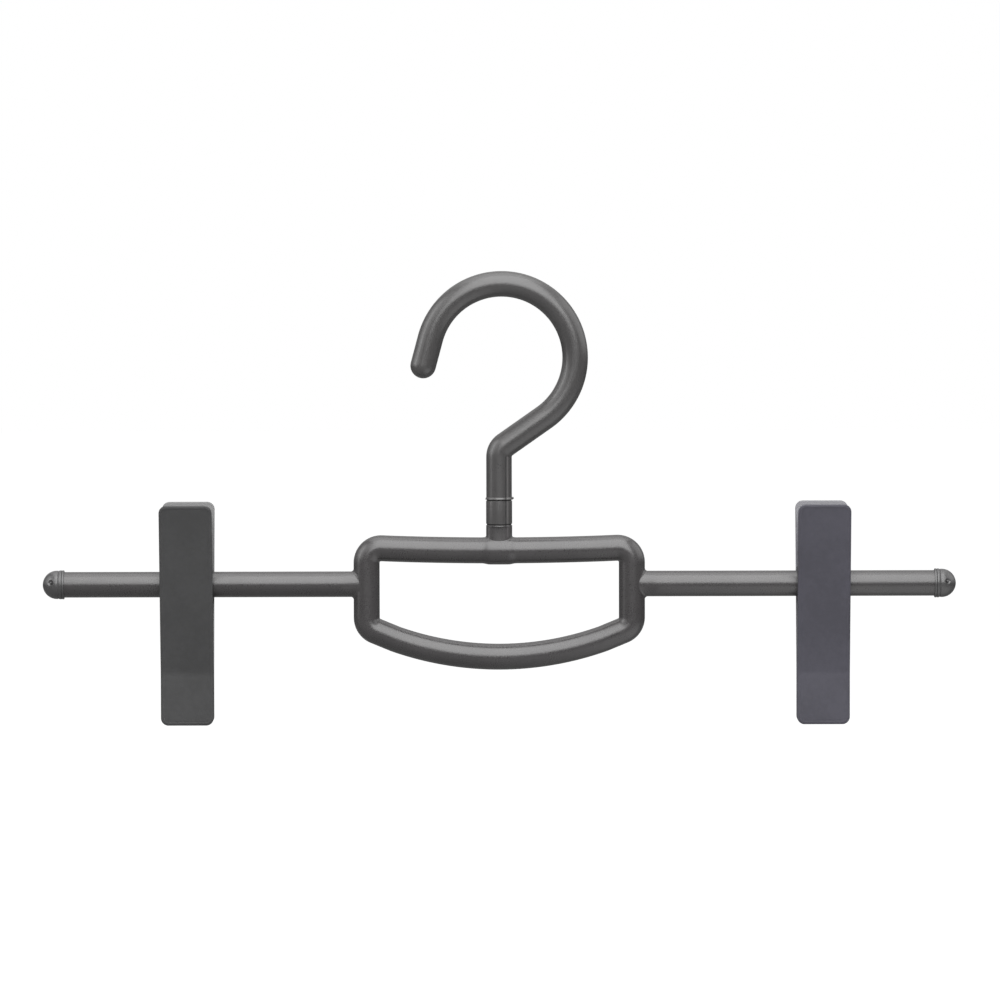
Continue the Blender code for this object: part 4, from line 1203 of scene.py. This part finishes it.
def floor_material():
    """Grey card. To the camera it also glows, by 0.80 near the hanger and 0.97 far from it, where
    the lamps no longer reach, so that it stays white all over except for the shadow. Reflected
    rays see a share of the glow that grows to the right, and ends behind the hanger and 0.9 m
    away."""
    look = dict(Base_Color=(0.25, 0.25, 0.25, 1.0), Roughness=0.9, Specular_IOR_Level=0.0)
    material, tree, inputs = new_material("studio floor", **look, Emission_Color=WHITE)
    place = object_place(tree)
    length = tree.nodes.new("ShaderNodeVectorMath")
    length.operation = "LENGTH"
    tree.links.new(place, length.inputs[0])
    far, split = length.outputs["Value"], split_xyz(tree, place)
    glow = ramp_node(tree, far, 0.4, 2.0, 0.80, 0.97)
    at_right = ramp_node(tree, split["X"], -0.03, 0.18, 0.0, 0.9)
    close_by = ramp_node(tree, far, 0.45, 0.9, 1.0, 0.0)
    in_front = ramp_node(tree, split["Y"], -0.06, 0.12, 1.0, 0.0)
    share = math_node(tree, "MULTIPLY", math_node(tree, "MULTIPLY", at_right, close_by), in_front)
    tree.links.new(white_to_camera(tree, 0.0, glow, share), inputs["Emission Strength"])
    return material


FLOOR_Z, FLOOR_REACH = -0.34, 6.0
floor_corners = np.array([(-1, -1), (1, -1), (1, 1), (-1, 1)]) * FLOOR_REACH
floor_mesh = bpy.data.meshes.new("studio floor")
floor_mesh.from_pydata(np.insert(floor_corners, 2, FLOOR_Z, axis=1), [], [(0, 1, 2, 3)])
floor_mesh.materials.append(floor_material())
floor = placed("studio_floor", floor_mesh)

world = bpy.data.worlds.new("studio")
bpy.context.scene.world = world
world.use_nodes = True
background = world.node_tree.nodes["Background"]
background.inputs["Color"].default_value = WHITE
world_light = white_to_camera(world.node_tree, 0.15, 1.0, 0.25)
world.node_tree.links.new(world_light, background.inputs["Strength"])
print("floor at z, m:", FLOOR_Z, "and world:", world.name)

# %% [markdown]
# ## Lights
# The photograph's highlights lie on the upper halves of the level bars and fade just above their
# middles, so the main light is a wide soft box above and in front, from about 9 to 82 degrees up.
# It stands a little to the right. A box overhead lights the tops, and weak panels fill in from
# the back, the left and the right. A narrow strip at the left gives the thin line of light on the
# stem and along the hook.


# %% Lamps
LAMPS_AIM = np.array([0.0, 0.0, -90 * MM])


def soft_box(name, azimuth, elevation, distance, size, radiance):
    """A rectangular lamp aimed at the hanger. azimuth is measured from the front to the right.
    Its power is radiance * pi * its area."""
    a, e = math.radians(azimuth), math.radians(elevation)
    way = np.array([math.sin(a) * math.cos(e), -math.cos(a) * math.cos(e), math.sin(e)])
    data = bpy.data.lights.new(name, "AREA")
    data.shape = "RECTANGLE"
    data.size, data.size_y = size
    data.energy = radiance * math.pi * size[0] * size[1]
    lamp = placed(name, data)
    lamp.location = LAMPS_AIM + distance * way
    back = unit(way)
    right = unit(np.cross([0.0, 0.0, 1.0], back))
    up = np.cross(back, right)
    lamp.rotation_euler = Matrix(np.stack([right, up, back], axis=1).tolist()).to_euler()
    print(name, "lamp, W:", round(data.energy, 1))


soft_box("key", 5.0, 45.3, 1.25, (1.3, 1.86), 3.45)
soft_box("overhead", 180.0, 82.0, 1.25, (1.4, 0.75), 1.8)
soft_box("back panel", 180.0, 48.0, 1.35, (1.6, 0.9), 0.5)
soft_box("left panel", -74.0, 28.0, 1.3, (1.7, 1.0), 1.0)
soft_box("left strip", -77.0, 20.0, 1.3, (0.34, 1.1), 2.0)
soft_box("right panel", 92.0, 28.0, 1.3, (1.5, 1.0), 1.1)

# %% [markdown]
# ## Camera
# The photograph looks straight at the hanger from a little above: the rear plates show as a thin
# band over the front ones. A long lens from 2.8 m gives the same flat perspective. The picture's
# 1000 pixels are 437.8 mm wide at the hanger.

# %% Camera
DISTANCE, PICTURE_WIDTH, SENSOR_WIDTH = 2.8, 437.8 * MM, 36.0
ELEVATION, ROLL = math.radians(3.3), math.radians(0.13)
AIM_X, AIM_Z = 0.4 * MM, ARM_Z + 36.8 * MM
camera_data = bpy.data.cameras.new("camera")
camera_data.sensor_width = SENSOR_WIDTH
camera_data.lens = SENSOR_WIDTH * DISTANCE / PICTURE_WIDTH
camera = placed("camera", camera_data)
back_y, up_z = -DISTANCE * math.cos(ELEVATION), DISTANCE * math.sin(ELEVATION)
camera.location = (AIM_X, back_y, AIM_Z + up_z)
tipped = Matrix.Rotation(math.pi / 2 - ELEVATION, 3, "X") @ Matrix.Rotation(-ROLL, 3, "Z")
camera.rotation_euler = tipped.to_euler()
bpy.context.scene.camera = camera
bpy.context.scene.view_settings.view_transform = "Standard"
